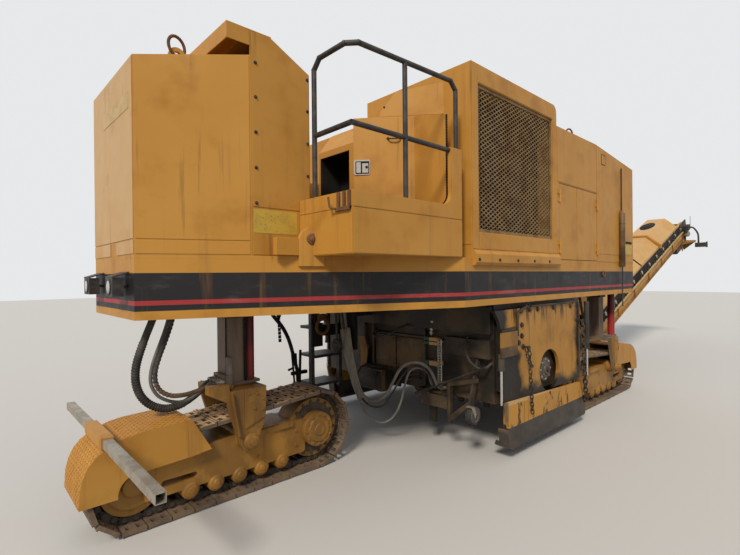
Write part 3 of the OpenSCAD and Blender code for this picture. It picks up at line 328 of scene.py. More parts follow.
# %% Steel, rubber and glass
def plain_finish(name, base, over, amount, scale, specks=None, rough=0.6, metallic=0.0, stretch=(1, 1, 1),
                 relief=60, depth=0.001, dust_top=None):
    f = Finish(name, metallic)
    f.colour = base
    f.spots(over, 0.4, 0.66, amount, scale, 6, stretch)
    if specks:
        f.spots(specks, 0.56, 0.66, 0.8, scale * 6, 8, roughness=0.7, shift=(4, 1, 7))
    if dust_top:
        dusty = f.mix(f.mask(f.noise(11, 6, shift=(2, 6, 3)), 0.42, 0.62), dust_top, (360, 220, 110))
        f.cover(f.times(f.mask(f.facing_up(), 0.80, 0.92, 0.92), f.mask(f.axis("Z"), 0.40, 0.45)), dusty)
    shine = f.add(f.times(f.noise(scale * 2, 5), 0.3), rough - 0.15)
    return f.done(shine, f.noise(relief, 4), depth)


rail_paint = plain_finish("worn black rail", (30, 29, 30), (90, 75, 60), 0.6, 14, (120, 60, 30), 0.5)
dark_metal = plain_finish("dusty dark metal", (28, 26, 24), (100, 80, 55), 0.7, 4, (50, 30, 18), 0.65)
oily_steel = plain_finish("oily steel", (22, 17, 13), (110, 74, 39), 0.75, 3.2, (50, 35, 20), 0.5)
rusty_steel = plain_finish("rusty steel", (190, 85, 35), (85, 45, 25), 0.8, 9, (260, 130, 60), 0.8)
mesh_rust = plain_finish("rusty expanded mesh", (260, 170, 75), (150, 75, 30), 0.8, 8, (360, 250, 120), 0.75)
shoe_steel = plain_finish("track shoe steel", (200, 135, 85), (85, 70, 58), 0.8, 5, (300, 200, 120), 0.7,
                          dust_top=(660, 420, 220))
hub_steel = plain_finish("hub steel", (125, 100, 88), (55, 43, 36), 0.8, 14, (200, 160, 130), 0.5)
dull_red = plain_finish("dull red cap", (110, 22, 16), (55, 20, 14), 0.7, 20, rough=0.55)
column_brown = plain_finish("greasy brown arm", (45, 32, 22), (85, 58, 34), 0.7, 6, (30, 22, 16), 0.55)
chain_steel = plain_finish("track chain", (55, 42, 32), (120, 85, 55), 0.6, 11, (30, 25, 20))
column_steel = plain_finish("leg column", (240, 170, 115), (110, 80, 57), 0.7, 5, (160, 120, 80), 0.55,
                            stretch=(2, 2, 0.3))
hose_rubber = plain_finish("hose rubber", (30, 28, 27), (95, 82, 68), 0.8, 9, rough=0.65, relief=140)
grey_hose = plain_finish("grey dusty hose", (150, 140, 125), (80, 70, 60), 0.6, 12, rough=0.7, relief=140)
belt_rubber = plain_finish("belt rubber", (40, 36, 33), (160, 130, 100), 0.6, 4, rough=0.8, relief=80)
chrome = plain_finish("chrome rod", (620, 620, 600), (500, 480, 450), 0.4, 9, rough=0.24, metallic=1.0)
galvanised = plain_finish("worn bright steel", (420, 380, 310), (240, 190, 140), 0.6, 10, (180, 100, 50), 0.45,
                          metallic=0.5)
pad_steel = plain_finish("tool steel", (170, 100, 60), (80, 50, 35), 0.7, 8, (300, 220, 150),
                         metallic=0.3)
tyre_rubber = plain_finish("wheel rubber", (35, 33, 32), (110, 95, 80), 0.7, 9, rough=0.8)
lamp_glass = plain_finish("lamp glass", (550, 550, 530), (380, 370, 350), 0.5, 20, rough=0.18)
paint_pale = plain_finish("sun-bleached paint", (600, 420, 200), (460, 300, 120), 0.7, 10, (340, 200, 80))
brown_panel = plain_finish("oily brown panel", (155, 88, 34), (42, 26, 14), 0.8, 4, (210, 130, 55), 0.5)
core_black = plain_finish("cooler core black", (10, 9, 8), (26, 20, 15), 0.6, 7, rough=0.8)
# near black for black rubber and dark parts, and also for painted shade in open gaps, holes, slits and recesses
gap_black = plain_finish("dark gap", (8, 7, 6), (22, 17, 13), 0.6, 9, rough=0.85)
pale_plastic = plain_finish("pale grey plastic", (500, 490, 460), (380, 360, 320), 0.5, 30, (200, 160, 120),
                            rough=0.45)
green_paint = plain_finish("dull green paint", (45, 85, 60), (100, 120, 85), 0.6, 12)
plate_bare = plain_finish("bare sign plate", (600, 400, 60), (440, 290, 60), 0.6, 12, (220, 140, 50), 0.5)
print(len(bpy.data.materials), "finishes so far")


def cylinder_paint():
    """Red paint that turns near black towards the top, above about a metre."""
    f = Finish("red cylinder paint")
    f.colour = (360, 26, 24)
    f.spots((220, 32, 26), 0.4, 0.66, 0.7, 6, 6, stretch=(2, 2, 0.4))
    height = f.add(f.axis("Z"), f.times(f.noise(12, 5), -0.12))
    f.cover(f.mask(height, 0.96, 1.06, 0.72), (28, 11, 9))
    return f.done(0.42, f.noise(60, 4), 0.001)


red_paint = cylinder_paint()

# %% [markdown]
# The CAD solids that keep their shape only need their finish. The node's mesh stays as it
# is; its first material slot is what changes.

# %% Finish the CAD nodes
DRESSED = (
    (paint_band, "main_frame"),
    (paint, "front_tower tower_housing air_scoop operator_platform console water_tank cooler_housing "
            "engine_hood door_near_front door_near_rear door_far_front door_far_rear conveyor_hitch "
            "conveyor_turntable conveyor_frame bar_sleeve side_hood"),
    (paint_deck, "deck_plate"),
    (paint_fender, "front_fender rear_fender_near rear_fender_far"),
    (paint_low, "front_yoke front_track_frame rear_track_frame_near rear_track_frame_far marker_tube"),
    (paint_plate, "side_plate_near side_plate_far"),
    (paint_skid, "skid_near skid_far"),
    (rail_paint, "handrail ladder front_lamps"),
    (dark_metal, "conveyor_head"),
    (core_black, "cooler_core engine_block"),
    (oily_steel, "drum_housing moldboard primary_conveyor leg_sleeves"),
    (column_brown, "grade_arm"),
    (paint_cover, "conveyor_covers"),
    (mesh_rust, "cooler_mesh"),
    (pad_steel, "cutting_drum"),
    (tyre_rubber, "grade_wheel"),
    (column_steel, "front_column rear_leg_near rear_leg_far"),
    (shoe_steel, "front_track rear_track_near rear_track_far"),
    (belt_rubber, "conveyor_belt"),
    (galvanised, "guide_bar"))
for material, names in DRESSED:
    for name in names.split():
        slots = nodes[name].data.materials
        slots.clear()
        slots.append(material)
print(sum(len(names.split()) for _, names in DRESSED), "solids have their finish")

# %% [markdown]
# Small parts are made in a workshop class. It gathers boxes, bars, rods, rings and turned
# shapes in one mesh, and hands over one finished object with softened edges. Real sheet
# and plate always have a small radius, and it is that radius that catches the light. Each
# tool gives the workshop back, so a part reads as a list of its shapes. All sizes are in
# millimetres, and a start of 0 draws a pattern round the origin.

# %% A workshop for small parts
ALONG = {"x": lambda a, b, c: (c, a, b), "y": lambda a, b, c: (a, c, b), "z": lambda a, b, c: (a, b, c)}
YELLOW, OILY, COLUMN, DARK = "yellow_paint", "oily_steel", "column_steel", "dark_metal"
RUBBER, RAIL = "hose_rubber", "handrail_paint"


def frame_for(direction):
    """Rotation that carries +Z to a direction."""
    return Vector((0, 0, 1)).rotation_difference(Vector(direction).normalized()).to_matrix().to_4x4()


def turns(count, whole=2 * math.pi):
    return [whole * k / count for k in range(count)]


class Workshop:
    def __init__(self, start=st(0)):
        self.bm = bmesh.new()
        self.start = start

    def point(self, x, y, z):
        return Vector((x / 1000 + self.start, y / 1000, z / 1000))

    def placed(self, centre, direction):
        """The frame of a shape at a centre, which is a place in mm or a vector in metres."""
        spot = centre if isinstance(centre, Vector) else self.point(*centre)
        return Matrix.Translation(spot) @ frame_for(direction)

    def walls(self, rings, closed=False):
        """Faces between rings of corners, and a cap on each end if the row isn't closed."""
        faces = []
        for low, high in zip(rings, rings[1:] + (rings[:1] if closed else [])):
            count = len(low)
            faces += [self.bm.faces.new((low[k], low[(k + 1) % count], high[(k + 1) % count], high[k]))
                      for k in range(count)]
        return faces

    def outward(self, faces):
        bmesh.ops.recalc_face_normals(self.bm, faces=faces)
        return self

    def solid(self, *layers):
        """Two equal outlines, joined to a closed solid."""
        low, high = ([self.bm.verts.new(p) for p in layer] for layer in layers)
        faces = [self.bm.faces.new(low), self.bm.faces.new(high[::-1])]
        for i in range(len(low)):
            j = (i + 1) % len(low)
            faces.append(self.bm.faces.new((low[j], low[i], high[i], high[j])))
        return self.outward(faces)

    def prism(self, outline, axis, low, high):
        """An outline in the plane across an axis, carried from low to high along it."""
        ends = sorted((low, high))
        return self.solid(*([self.point(*ALONG[axis](a, b, end)) for a, b in outline] for end in ends))

    def boxes(self, *rows):
        """Each row holds the x, y and z of one corner and of the opposite one."""
        for row in rows:
            (x0, x1), (y0, y1), (z0, z1) = (sorted(pair) for pair in zip(row[:3], row[3:]))
            self.prism([(x0, y0), (x1, y0), (x1, y1), (x0, y1)], "z", z0, z1)
        return self

    def rods(self, *rows, sides=16):
        """Each row holds the x, y and z of both ends, and the radius."""
        for row in rows:
            start, end = self.point(*row[:3]), self.point(*row[3:6])
            place = Matrix.Translation((start + end) / 2) @ frame_for(end - start)
            bmesh.ops.create_cone(self.bm, cap_ends=True, segments=sides, radius1=row[6] / 1000,
                                  radius2=row[6] / 1000, depth=(end - start).length, matrix=place)
        return self

    def turned(self, profile, centre, direction, sides=24):
        """A profile of radius and height by turns, turned about a direction through a centre."""
        place = self.placed(centre, direction)
        rings = []
        for radius, height in zip(profile[::2], profile[1::2]):
            corners = [Vector((radius * math.cos(t), radius * math.sin(t), height)) / 1000 for t in turns(sides)]
            rings.append([self.bm.verts.new(place @ corner) for corner in corners])
        faces = self.walls(rings)
        return self.outward(faces + [self.bm.faces.new(rings[0][::-1]), self.bm.faces.new(rings[-1])])

    def ring(self, centre, direction, radius, wire, sides=28, around=10):
        place = self.placed(centre, direction)
        loops = []
        for t in turns(sides):
            loops.append([])
            for u in turns(around):
                reach = radius + wire * math.cos(u)
                corner = Vector((reach * math.cos(t), reach * math.sin(t), wire * math.sin(u))) / 1000
                loops[-1].append(self.bm.verts.new(place @ corner))
        faces = []
        for here, there in zip(loops, loops[1:] + loops[:1]):
            for m in range(around):
                n = (m + 1) % around
                faces.append(self.bm.faces.new((here[m], there[m], there[n], here[n])))
        return self.outward(faces)

    def mesh(self, name):
        made = bpy.data.meshes.new(name)
        self.bm.to_mesh(made)
        self.bm.free()
        return made

    def hand_over(self, name, slot, material, edge=2.5, body="chassis", smooth=True):
        mesh = self.mesh(name)
        mesh.materials.append(material)
        piece = link(bpy.data.objects.new(name, mesh))
        if smooth:
            mesh.polygons.foreach_set("use_smooth", [True] * len(mesh.polygons))
        if edge:
            soft = piece.modifiers.new("soft edges", "BEVEL")
            soft.width = edge / 1000
            soft.segments = 2
            soft.limit_method = "ANGLE"
            soft.angle_limit = math.radians(40)
            soft.harden_normals = True
        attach(piece, body)
        return piece


print("workshop ready")

# %% [markdown]
# Things that repeat are laid out by one geometry node tree. It takes points that carry a
# turn, puts a pattern on each, makes the copies real and gives them their finish. Bolts,
# shoes, chain links, rollers and tread lugs all use this tree with another pattern.

# %% The tree that repeats a pattern
def repeat_tree():
    tree = bpy.data.node_groups.new("repeat a pattern", "GeometryNodeTree")
    face = tree.interface
    for name, kind in (
            ("Geometry", "Geometry"), ("Pattern", "Object"), ("Size", "Float"), ("Finish", "Material")):
        face.new_socket(name, in_out="INPUT", socket_type="NodeSocket" + kind)
    face.new_socket("Geometry", in_out="OUTPUT", socket_type="NodeSocketGeometry")
    entry, leave, info, turn, to_rotation, put, real, coat = (tree.nodes.new(kind) for kind in (
        "NodeGroupInput", "NodeGroupOutput", "GeometryNodeObjectInfo", "GeometryNodeInputNamedAttribute",
        "FunctionNodeEulerToRotation", "GeometryNodeInstanceOnPoints", "GeometryNodeRealizeInstances",
        "GeometryNodeSetMaterial"))
    turn.data_type = "FLOAT_VECTOR"
    turn.inputs["Name"].default_value = "turn"
    for giver, given, taker, taken in (
            (entry, "Geometry", put, "Points"), (entry, "Pattern", info, "Object"),
            (info, "Geometry", put, "Instance"), (turn, "Attribute", to_rotation, 0),
            (to_rotation, 0, put, "Rotation"), (entry, "Size", put, "Scale"),
            (put, "Instances", real, "Geometry"), (real, "Geometry", coat, "Geometry"),
            (entry, "Finish", coat, "Material"), (coat, "Geometry", leave, "Geometry")):
        tree.links.new(giver.outputs[given], taker.inputs[taken])
    return tree


REPEAT = repeat_tree()
SOCKETS = {s.name: s.identifier for s in REPEAT.interface.items_tree if s.in_out == "INPUT"}


def repeat(name, pattern, places, material, slot, body="chassis", size=1.0, smooth=True):
    """Copies a pattern object to every (location, rotation matrix) and returns one plain piece."""
    points = bpy.data.meshes.new(name + " points")
    points.from_pydata([tuple(loc) for loc, _ in places], [], [])
    facing = points.attributes.new("turn", "FLOAT_VECTOR", "POINT")
    for k, (_, rot) in enumerate(places):
        facing.data[k].vector = rot.to_euler()
    maker = link(bpy.data.objects.new(name + " maker", points))
    layer = maker.modifiers.new("repeat", "NODES")
    layer.node_group = REPEAT
    for socket, value in (("Pattern", pattern), ("Size", size), ("Finish", material)):
        layer[SOCKETS[socket]] = value
    mesh = bpy.data.meshes.new_from_object(maker.evaluated_get(bpy.context.evaluated_depsgraph_get()))
    bpy.data.objects.remove(maker)
    mesh.name = name
    piece = link(bpy.data.objects.new(name, mesh))
    if smooth:
        mesh.shade_smooth()
        mesh.set_sharp_from_angle(angle=math.radians(35))
    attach(piece, body)
    return piece


def pattern_of(shop, name):
    """A hidden pattern for the repeat tree."""
    return bpy.data.objects.new(name, shop.mesh(name))


def aim(direction, spin=0.0):
    return (frame_for(direction) @ Matrix.Rotation(spin, 4, "Z")).to_3x3()


# %% [markdown]
# A bolt head is a hexagon on a round washer. One pattern of 1 mm radius serves every row
# on the machine.

# %% Bolt heads
ORIGIN, UP = (0, 0, 0), (0, 0, 1)
BOLT = pattern_of(Workshop(0).turned((1, -0.25, 1, 0.12, 0.94, 0.18), ORIGIN, UP, 12)
                  .turned((0.72, 0, 0.72, 0.62, 0.6, 0.72), ORIGIN, UP, 6), "bolt pattern")


def bolts(name, spots, direction, radius, body="chassis", material=None, slot=YELLOW):
    """Bolt heads of some radius in mm at places in metres, each turned a little further."""
    places = [(p, aim(direction, 0.3 + 0.7 * k)) for k, p in enumerate(spots)]
    return repeat(name, BOLT, places, material or paint_low, slot, body, radius)


print("bolt pattern has", len(BOLT.data.polygons), "faces")

# %% [markdown]
# ## Hoses
# Six hydraulic hoses hang free under the frame: three go down to the front leg, and three
# swing in loops to the drum housing. Each follows its route from the CAD, written as
# station, y and height, point after point. A smooth curve runs through those points, and a
# ring of vertices is carried along it without twisting. The radius is a function of the
# way along and of the angle, so one sweep draws smooth rubber, a ribbed guard or a spiral.

# %% Sweep along a curve
def route(text):
    numbers = [float(word) for word in text.split()]
    return [at(*numbers[k:k + 3]) for k in range(0, len(numbers), 3)]


def smooth_line(points, step):
    """A curve through the points, cut at about even steps."""
    wide = [2 * points[0] - points[1]] + points + [2 * points[-1] - points[-2]]
    line = []
    for a, b, c, d in zip(wide, wide[1:], wide[2:], wide[3:]):
        for t in turns(max(1, round((c - b).length / step)), 1):
            line.append(0.5 * (2 * b + (c - a) * t + (2 * a - 5 * b + 4 * c - d) * t ** 2
                               + (3 * b - a - 3 * c + d) * t ** 3))
    return line + [points[-1]]


def sweep(shop, line, size, sides=12, across=None):
    """Carries a ring along a line. The radius in metres is a function of way and angle."""
    way, rings = 0.0, []
    for k, p in enumerate(line):
        ahead = (line[min(k + 1, len(line) - 1)] - line[max(k - 1, 0)]).normalized()
        across = ahead.orthogonal() if across is None else across - ahead * across.dot(ahead)
        across = across.normalized()
        up = ahead.cross(across)
        way += (p - line[k - 1]).length if k else 0.0
        rings.append([shop.bm.verts.new(p + size(way, t) * (math.cos(t) * across + math.sin(t) * up))
                      for t in turns(sides)])
    shop.walls(rings)
    shop.bm.faces.new(rings[0][::-1])
    shop.bm.faces.new(rings[-1])
    return way


def pipe(shop, points, radius, step=20, sides=10):
    """A bent pipe or a short fixed hose through some points."""
    sweep(shop, smooth_line(points, step / 1000), lambda way, angle: radius / 1000, sides)
    return shop


print("sweep ready")

# %% [markdown]
# The wide suction hose has a ribbed guard over its lower half. The second hose wears a
# black spiral guard on top and a brown cloth wrap below it. All three end on a block on
# the front column.

# %% Hoses to the front leg
def wide_size(way, angle):
    ribbed = 0.55 < way < 1.25
    return 0.0265 + 0.0022 * math.cos(2 * math.pi * way / 0.018) if ribbed else 0.0245


def wrapped_size(way, angle):
    if way < 0.35:
        return 0.0135
    if way < 0.95:
        return 0.0148 + 0.002 * math.cos(angle - 2 * math.pi * way / 0.026)
    return 0.0155 + 0.0008 * math.cos(3 * angle + 40 * way)


def hose(name, node, diameter, material, points, size=None, step=0.02, sides=12, bands=()):
    """One free hose: swept, in place of its plain CAD tube."""
    line = smooth_line(points, step)
    shop = Workshop()
    length = sweep(shop, line, size or (lambda way, angle: diameter / 2), sides)
    mesh = shop.mesh(name)
    piece = link(bpy.data.objects.new(name, mesh))
    mesh.materials.append(material)
    mesh.shade_smooth()
    for finish, low, high in bands:
        mesh.materials.append(finish)
        for face in mesh.polygons:
            if low < face.center.z < high:
                face.material_index = len(mesh.materials) - 1
    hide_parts(node)
    tuple(line[0])
    [tuple(p) for p in line]
    print(name, round(length, 2), "m,", len(mesh.polygons), "faces")
    return piece


cloth_wrap = plain_finish("brown cloth wrap", (160, 105, 60), (85, 55, 32), 0.8, 14, rough=0.9, relief=120,
                          depth=0.003)
for made in (
        hose("suction_hose", "hose_wide", 0.058, hose_rubber, route(
            "570 0 1700 570 0 1600 565 0 1500 545 0 1410 510 0 1310 470 0 1210 430 0 1100 405 0 1000 405 0 900 "
            "435 0 810 495 0 740 575 0 700 650 0 695 720 0 710 790 0 745 845 0 785 895 0 820 930 0 840 960 0 840"),
             wide_size, 0.0045, 20),
        hose("wrapped_hose", "hose_wrapped", 0.034, hose_rubber, route(
            "600 -210 1700 600 -210 1600 600 -210 1500 585 -210 1390 560 -210 1290 525 -210 1190 490 -210 1100 "
            "465 -210 1020 460 -210 950 480 -210 890 520 -210 850 575 -205 825 640 -190 815 710 -170 815 "
            "780 -150 820 850 -130 830 910 -120 840 960 -120 840"),
             wrapped_size, 0.006, 14, [(cloth_wrap, 0.0, 0.93)]),
        hose("pale_hose", "hose_grey", 0.023, grey_hose, route(
            "600 -150 1700 600 -150 1600 595 -150 1500 580 -150 1390 555 -150 1290 520 -150 1190 485 -150 1100 "
            "460 -150 1020 450 -150 950 460 -150 890 500 -150 825 580 -145 775 670 -130 755 750 -105 770 "
            "820 -85 800 880 -70 835 920 -65 850 960 -65 850"))):
    tuple(at(570, 0, 1640))
    tuple(at(570, 0, 960))
    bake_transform(made)

# %% [markdown]
# The drum hoses come down close together in a flat sleeve with a tie at its lower end,
# and fan out in nested loops from there. The sleeve is a sweep along the middle hose
# whose ring is a flattened, pleated oval.

# %% Hoses to the drum housing
THIN_ROUTE = route(
    "2500 430 1700 2500 430 1600 2500 425 1480 2500 415 1350 2500 390 1210 2500 355 1060 2500 320 900 2500 275 740 "
    "2500 220 590 2500 165 475 2500 95 385 2505 5 340 2515 -90 335 2530 -180 370 2550 -240 450 2575 -285 535 "
    "2600 -320 615 2630 -360 685 2655 -410 740 2685 -470 760 2715 -525 735 2745 -560 680 2770 -570 620 "
    "2805 -570 570 2860 -570 545 2920 -570 545")
pale_rubber = plain_finish("pale dusty hose", (270, 240, 200), (130, 115, 95), 0.6, 9, rough=0.7, relief=140)
sleeve_cloth = plain_finish("grey hose sleeve", (340, 300, 240), (160, 140, 110), 0.7, 7, rough=0.85,
                            stretch=(3, 3, 0.3), depth=0.003)
for made in (
        hose("thick_loop", "drum_hose_thick", 0.028, pale_rubber, route(
            "2500 400 1700 2500 400 1600 2500 395 1480 2500 380 1350 2500 355 1210 2500 325 1060 2500 285 900 "
            "2500 235 740 2500 185 600 2500 135 500 2500 75 425 2505 0 390 2515 -90 395 2530 -175 440 2550 -235 520 "
            "2570 -280 615 2590 -325 705 2615 -385 770 2650 -455 800 2690 -525 790 2725 -580 745 2755 -605 680 "
            "2780 -610 625 2810 -610 580 2845 -610 555 2880 -610 545 2920 -610 545")),
        hose("thin_loop", "drum_hose_thin", 0.018, hose_rubber, THIN_ROUTE),
        hose("low_loop", "drum_hose_low", 0.020, pale_rubber, route(
            "2500 460 1700 2500 460 1600 2500 455 1480 2500 445 1350 2500 420 1210 2500 390 1060 2500 350 900 "
            "2500 310 740 2500 260 600 2500 205 470 2500 130 345 2500 45 260 2505 -55 210 2515 -160 200 "
            "2535 -250 240 2555 -315 315 2580 -350 405 2605 -360 490 2630 -365 570 2655 -370 645 2675 -380 690 "
            "2695 -410 725 2720 -455 735 2745 -500 725 2765 -530 690 2780 -540 650 2795 -540 605 2825 -540 570 "
            "2870 -540 545 2920 -540 545"))):
    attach(made, "chassis")


def sleeve_size(way, angle):
    wide, deep = 0.078 - 0.030 * way / 0.75, 0.024
    oval = 1 / math.hypot(math.cos(angle) / deep, math.sin(angle) / wide)
    return oval * (1 + 0.07 * math.cos(12 * angle))


sleeve = Workshop()
sweep(sleeve, smooth_line(THIN_ROUTE[5:11], 0.03), sleeve_size, 72, Vector((1, 0, 0)))
sleeve.hand_over("hose_sleeve", RUBBER, sleeve_cloth, 0)

# %% [markdown]
# ## The crawler tracks
# A track is a closed loop round an idler and a sprocket: two straight runs and two arcs.
# The same function that draws the CAD loop gives each shoe its place, so shoes and links
# repeat along it by one rule instead of being set by hand.

# %% Path of a track
WHEEL_BASE, IDLER_R, SPROCKET_R = 1410, 275, 325
SHOE_T, SHOES = 34, 30
TILT = 2 * math.asin((SPROCKET_R - IDLER_R) / math.hypot(WHEEL_BASE, SPROCKET_R - IDLER_R))
INNER_I, INNER_S = IDLER_R - SHOE_T, SPROCKET_R - SHOE_T
ARC_I, ARC_S = (math.pi - TILT) * INNER_I, (math.pi + TILT) * INNER_S
LOOP = 2 * WHEEL_BASE + ARC_I + ARC_S
PITCH = LOOP / SHOES
# Each track's middle, its body, 1 or -1 for an idler at its front or its rear end, and its CAD node
TRACKS = {"front": (1055, 0, "front_crawler", 1, "front_track"),
          "rear_near": (5653, -880, "rear_crawler_near", -1, "rear_track_near"),
          "rear_far": (5653, 880, "rear_crawler_far", -1, "rear_track_far")}


def on_loop(u):
    """Point under the shoes and outward angle at arc length u, in the track's own plane."""
    u %= LOOP
    if u < WHEEL_BASE:
        return WHEEL_BASE / 2 - u, SHOE_T, -math.pi / 2
    u -= WHEEL_BASE
    if u < ARC_I:
        a = -math.pi / 2 - u / INNER_I
        return -WHEEL_BASE / 2 + INNER_I * math.cos(a), IDLER_R + INNER_I * math.sin(a), a
    u -= ARC_I
    a = math.pi / 2 + TILT
    if u < WHEEL_BASE:
        return (-WHEEL_BASE / 2 + INNER_I * math.cos(a) + u * math.cos(TILT),
                IDLER_R + INNER_I * math.sin(a) + u * math.sin(TILT), a)
    a -= (u - WHEEL_BASE) / INNER_S
    return WHEEL_BASE / 2 + INNER_S * math.cos(a), SPROCKET_R + INNER_S * math.sin(a), a


def loop_places(s, y, facing):
    places = []
    for k in range(SHOES):
        u, z, a = on_loop((k + 0.5) * LOOP / SHOES)
        out = Vector((facing * math.cos(a), 0, math.sin(a)))
        across = Vector((0, 1, 0))
        places.append((at(s + facing * u, y, z), Matrix((across.cross(out), across, out)).transposed()))
    return places


print("one shoe every", round(PITCH), "mm")

# %% [markdown]
# A shoe is a steel plate with two rows of oblong holes and a low bar along each edge. The
# plate is drawn as a grid whose hole cells are left open, and walls close each hole, so
# the mesh stays one solid. Under it run two rows of chain links with their pins.

# %% Shoes, links and their loops
def perforated(shop, axis, us, vs, holes, low, high):
    """A plate on a grid of cells across an axis; the cells in holes are open."""
    cells = {(i, j) for i in range(len(us) - 1) for j in range(len(vs) - 1)} - set(holes)
    corners = {}

    def corner(i, j, level):
        if (i, j, level) not in corners:
            corners[i, j, level] = shop.bm.verts.new(shop.point(*ALONG[axis](us[i], vs[j], level)))
        return corners[i, j, level]
    for i, j in cells:
        ring = [(i, j), (i + 1, j), (i + 1, j + 1), (i, j + 1)]
        shop.bm.faces.new([corner(a, b, high) for a, b in ring])
        shop.bm.faces.new([corner(a, b, low) for a, b in reversed(ring)])
        beside = ((i, j - 1), (i + 1, j), (i, j + 1), (i - 1, j))
        for (a, b), (c, d), side in zip(ring, ring[1:] + ring[:1], beside):
            if side not in cells:
                shop.bm.faces.new((corner(a, b, low), corner(c, d, low), corner(c, d, high),
                                   corner(a, b, high)))
    return shop


def shoe_pattern():
    half = PITCH * 0.475
    shop = perforated(Workshop(0), "z", [-half, -48, -18, 16, 46, half],
                      [-200, -178, -124, -94, -40, 40, 94, 124, 178, 200],
                      [(i, j) for i in (1, 3) for j in (1, 3, 5, 7)], 0, 26)
    for x0, x1 in ((-half, -half + 14), (half - 12, half)):
        shop.prism([(x0, 25.5), (x0 + 1, SHOE_T), (x1 - 1, SHOE_T), (x1, 25.5)], "y", -200, 200)
    return pattern_of(shop, "shoe pattern")


def link_pattern():
    shop = Workshop(0)
    reach = PITCH * 0.5
    outline = [(-reach * 0.98, -30), (-reach * 0.8, -44), (-22, -45), (22, -45), (reach * 0.8, -44),
               (reach * 0.98, -30), (reach * 0.98, -14), (reach * 0.7, -1), (-reach * 0.7, -1),
               (-reach * 0.98, -14)]
    for y in (-85, 65):
        shop.prism(outline, "y", y, y + 20)
    for x in (-36, 36):
        shop.rods((x, -98, -24, x, 98, -24, 13), sides=10)
        for side in (-1, 1):
            shop.turned((19, 0, 19, 7, 15, 10), (x, side * 86, -24), (0, side, 0), 8)
    return pattern_of(shop, "link pattern")


SHOE, LINK = shoe_pattern(), link_pattern()
for track, (s, y, body, facing, node) in TRACKS.items():
    shoes = repeat(track + "_shoes", SHOE, loop_places(s, y, facing), shoe_steel, "shoe_steel", body)
    links = repeat(track + "_chain", LINK, loop_places(s, y, facing), chain_steel, "shoe_steel", body)
    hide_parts(node)
    print(track, "shoes:", len(shoes.data.polygons), "faces, links:", len(links.data.polygons))

# %% [markdown]
# Between the wheels a track frame carries bottom rollers, the drive hub and small wear
# guards. These dress the plain CAD frame: hub covers are turned shapes with a ring of
# bolts, and each roller gets its cap.

# %% Hubs, rollers and guards
ROLLER = pattern_of(Workshop(0).turned((60, -6, 60, 10, 50, 14, 44, 22, 24, 25, 20, 30), ORIGIN, UP, 20),
                    "roller pattern")


def circle_of(centre, direction, radius, count):
    place = Matrix.Translation(centre) @ frame_for(direction)
    return [place @ (Vector((radius * math.cos(t), radius * math.sin(t), 0)) / 1000) for t in turns(count)]


def toothed(shop, s, y, side, teeth=17):
    """A sprocket rim whose teeth reach between the chain's pins."""
    rim = []
    for k in range(teeth):
        for share, radius in ((0.0, 203), (0.28, 203), (0.40, 232), (0.60, 232), (0.72, 203)):
            a = 2 * math.pi * (k + share) / teeth
            rim.append((s + radius * math.cos(a), SPROCKET_R + radius * math.sin(a)))
    shop.prism(rim, "y", y, y + side * 14)


def near_and_far(name, heads, y, *more):
    """Bolts that look to the near side and to the far side of a plane."""
    for side, label in ((-1, "_near"), (1, "_far")):
        bolts(name + label, [h for h in heads if side * (h.y - y / 1000) > 0], (0, side, 0), *more)


for track, (s, y, body, facing, node) in TRACKS.items():
    spots = [(at(s + facing * (181 * i - 350), y + side * 138, 142), aim((0, side, 0)))
             for i in range(5) for side in (-1, 1)]
    repeat(track + "_roller_caps", ROLLER, spots, paint_low, YELLOW, body)
    hubs, wheel, heads = Workshop(), Workshop(), []
    drive, idler, guard = s + facing * WHEEL_BASE / 2, s - facing * WHEEL_BASE / 2, s + facing * 310
    for side in (-1, 1):
        out = (0, side, 0)
        hubs.turned((142, -40, 142, -10, 132, 0, 104, 4, 98, 14, 52, 16, 46, 24),
                    (drive, y + side * 188, SPROCKET_R), out, 40)
        heads += circle_of(at(drive, y + side * 189, SPROCKET_R), out, 119, 12)
        hubs.turned((160, -20, 160, 4, 146, 10, 120, -2, 70, 2, 64, 30, 34, 34), (idler, y + side * 100, IDLER_R),
                    out, 40)
        hubs.boxes((guard - 160, y + side * 158 - 10, 395, guard + 160, y + side * 158 + 10, 435))
        heads += [at(s + facing * ds, y + side * 151, z) for ds in (165, 500) for z in (350, 235)]
    for side in (-1, 1):
        toothed(wheel, drive, y + side * 94, side)
    hubs.hand_over(track + "_hubs", YELLOW, paint_low, 3, body)
    wheel.hand_over(track + "_sprocket", "shoe_steel", chain_steel, 2, body)
    near_and_far(track + "_hub_bolts", heads, y, 14, body)

# %% [markdown]
# The fenders are tread plate, so that a mechanic can step on them. Their small raised
# lozenges stand in rows that lean left and right by turns. The pattern tree sets them on
# the arc and on the flat part behind it.

# %% Tread on the fenders
FENDER_LINE = [(-317, -15), (-311, 95), (-295, 165), (-267, 225), (-230, 268), (-187, 299), (-128, 328), (-62, 350),
               (20, 362), (105, 366), (340, 373)]
LUG = pattern_of(Workshop(0).prism([(-13.5, 0), (0, -4.8), (13.5, 0), (0, 4.8)], "z", -1, 2.8), "lug pattern")
LUG_STEP = 24


def along_line(points, step):
    """Points at even steps along a line of straight pieces, each with its piece's direction."""
    stops, rest = [], step / 2
    for a, b in zip(points, points[1:]):
        run = Vector(b) - Vector(a)
        while rest < run.length:
            stops.append((Vector(a) + run * (rest / run.length), run.normalized()))
            rest += step
        rest -= run.length
    return stops


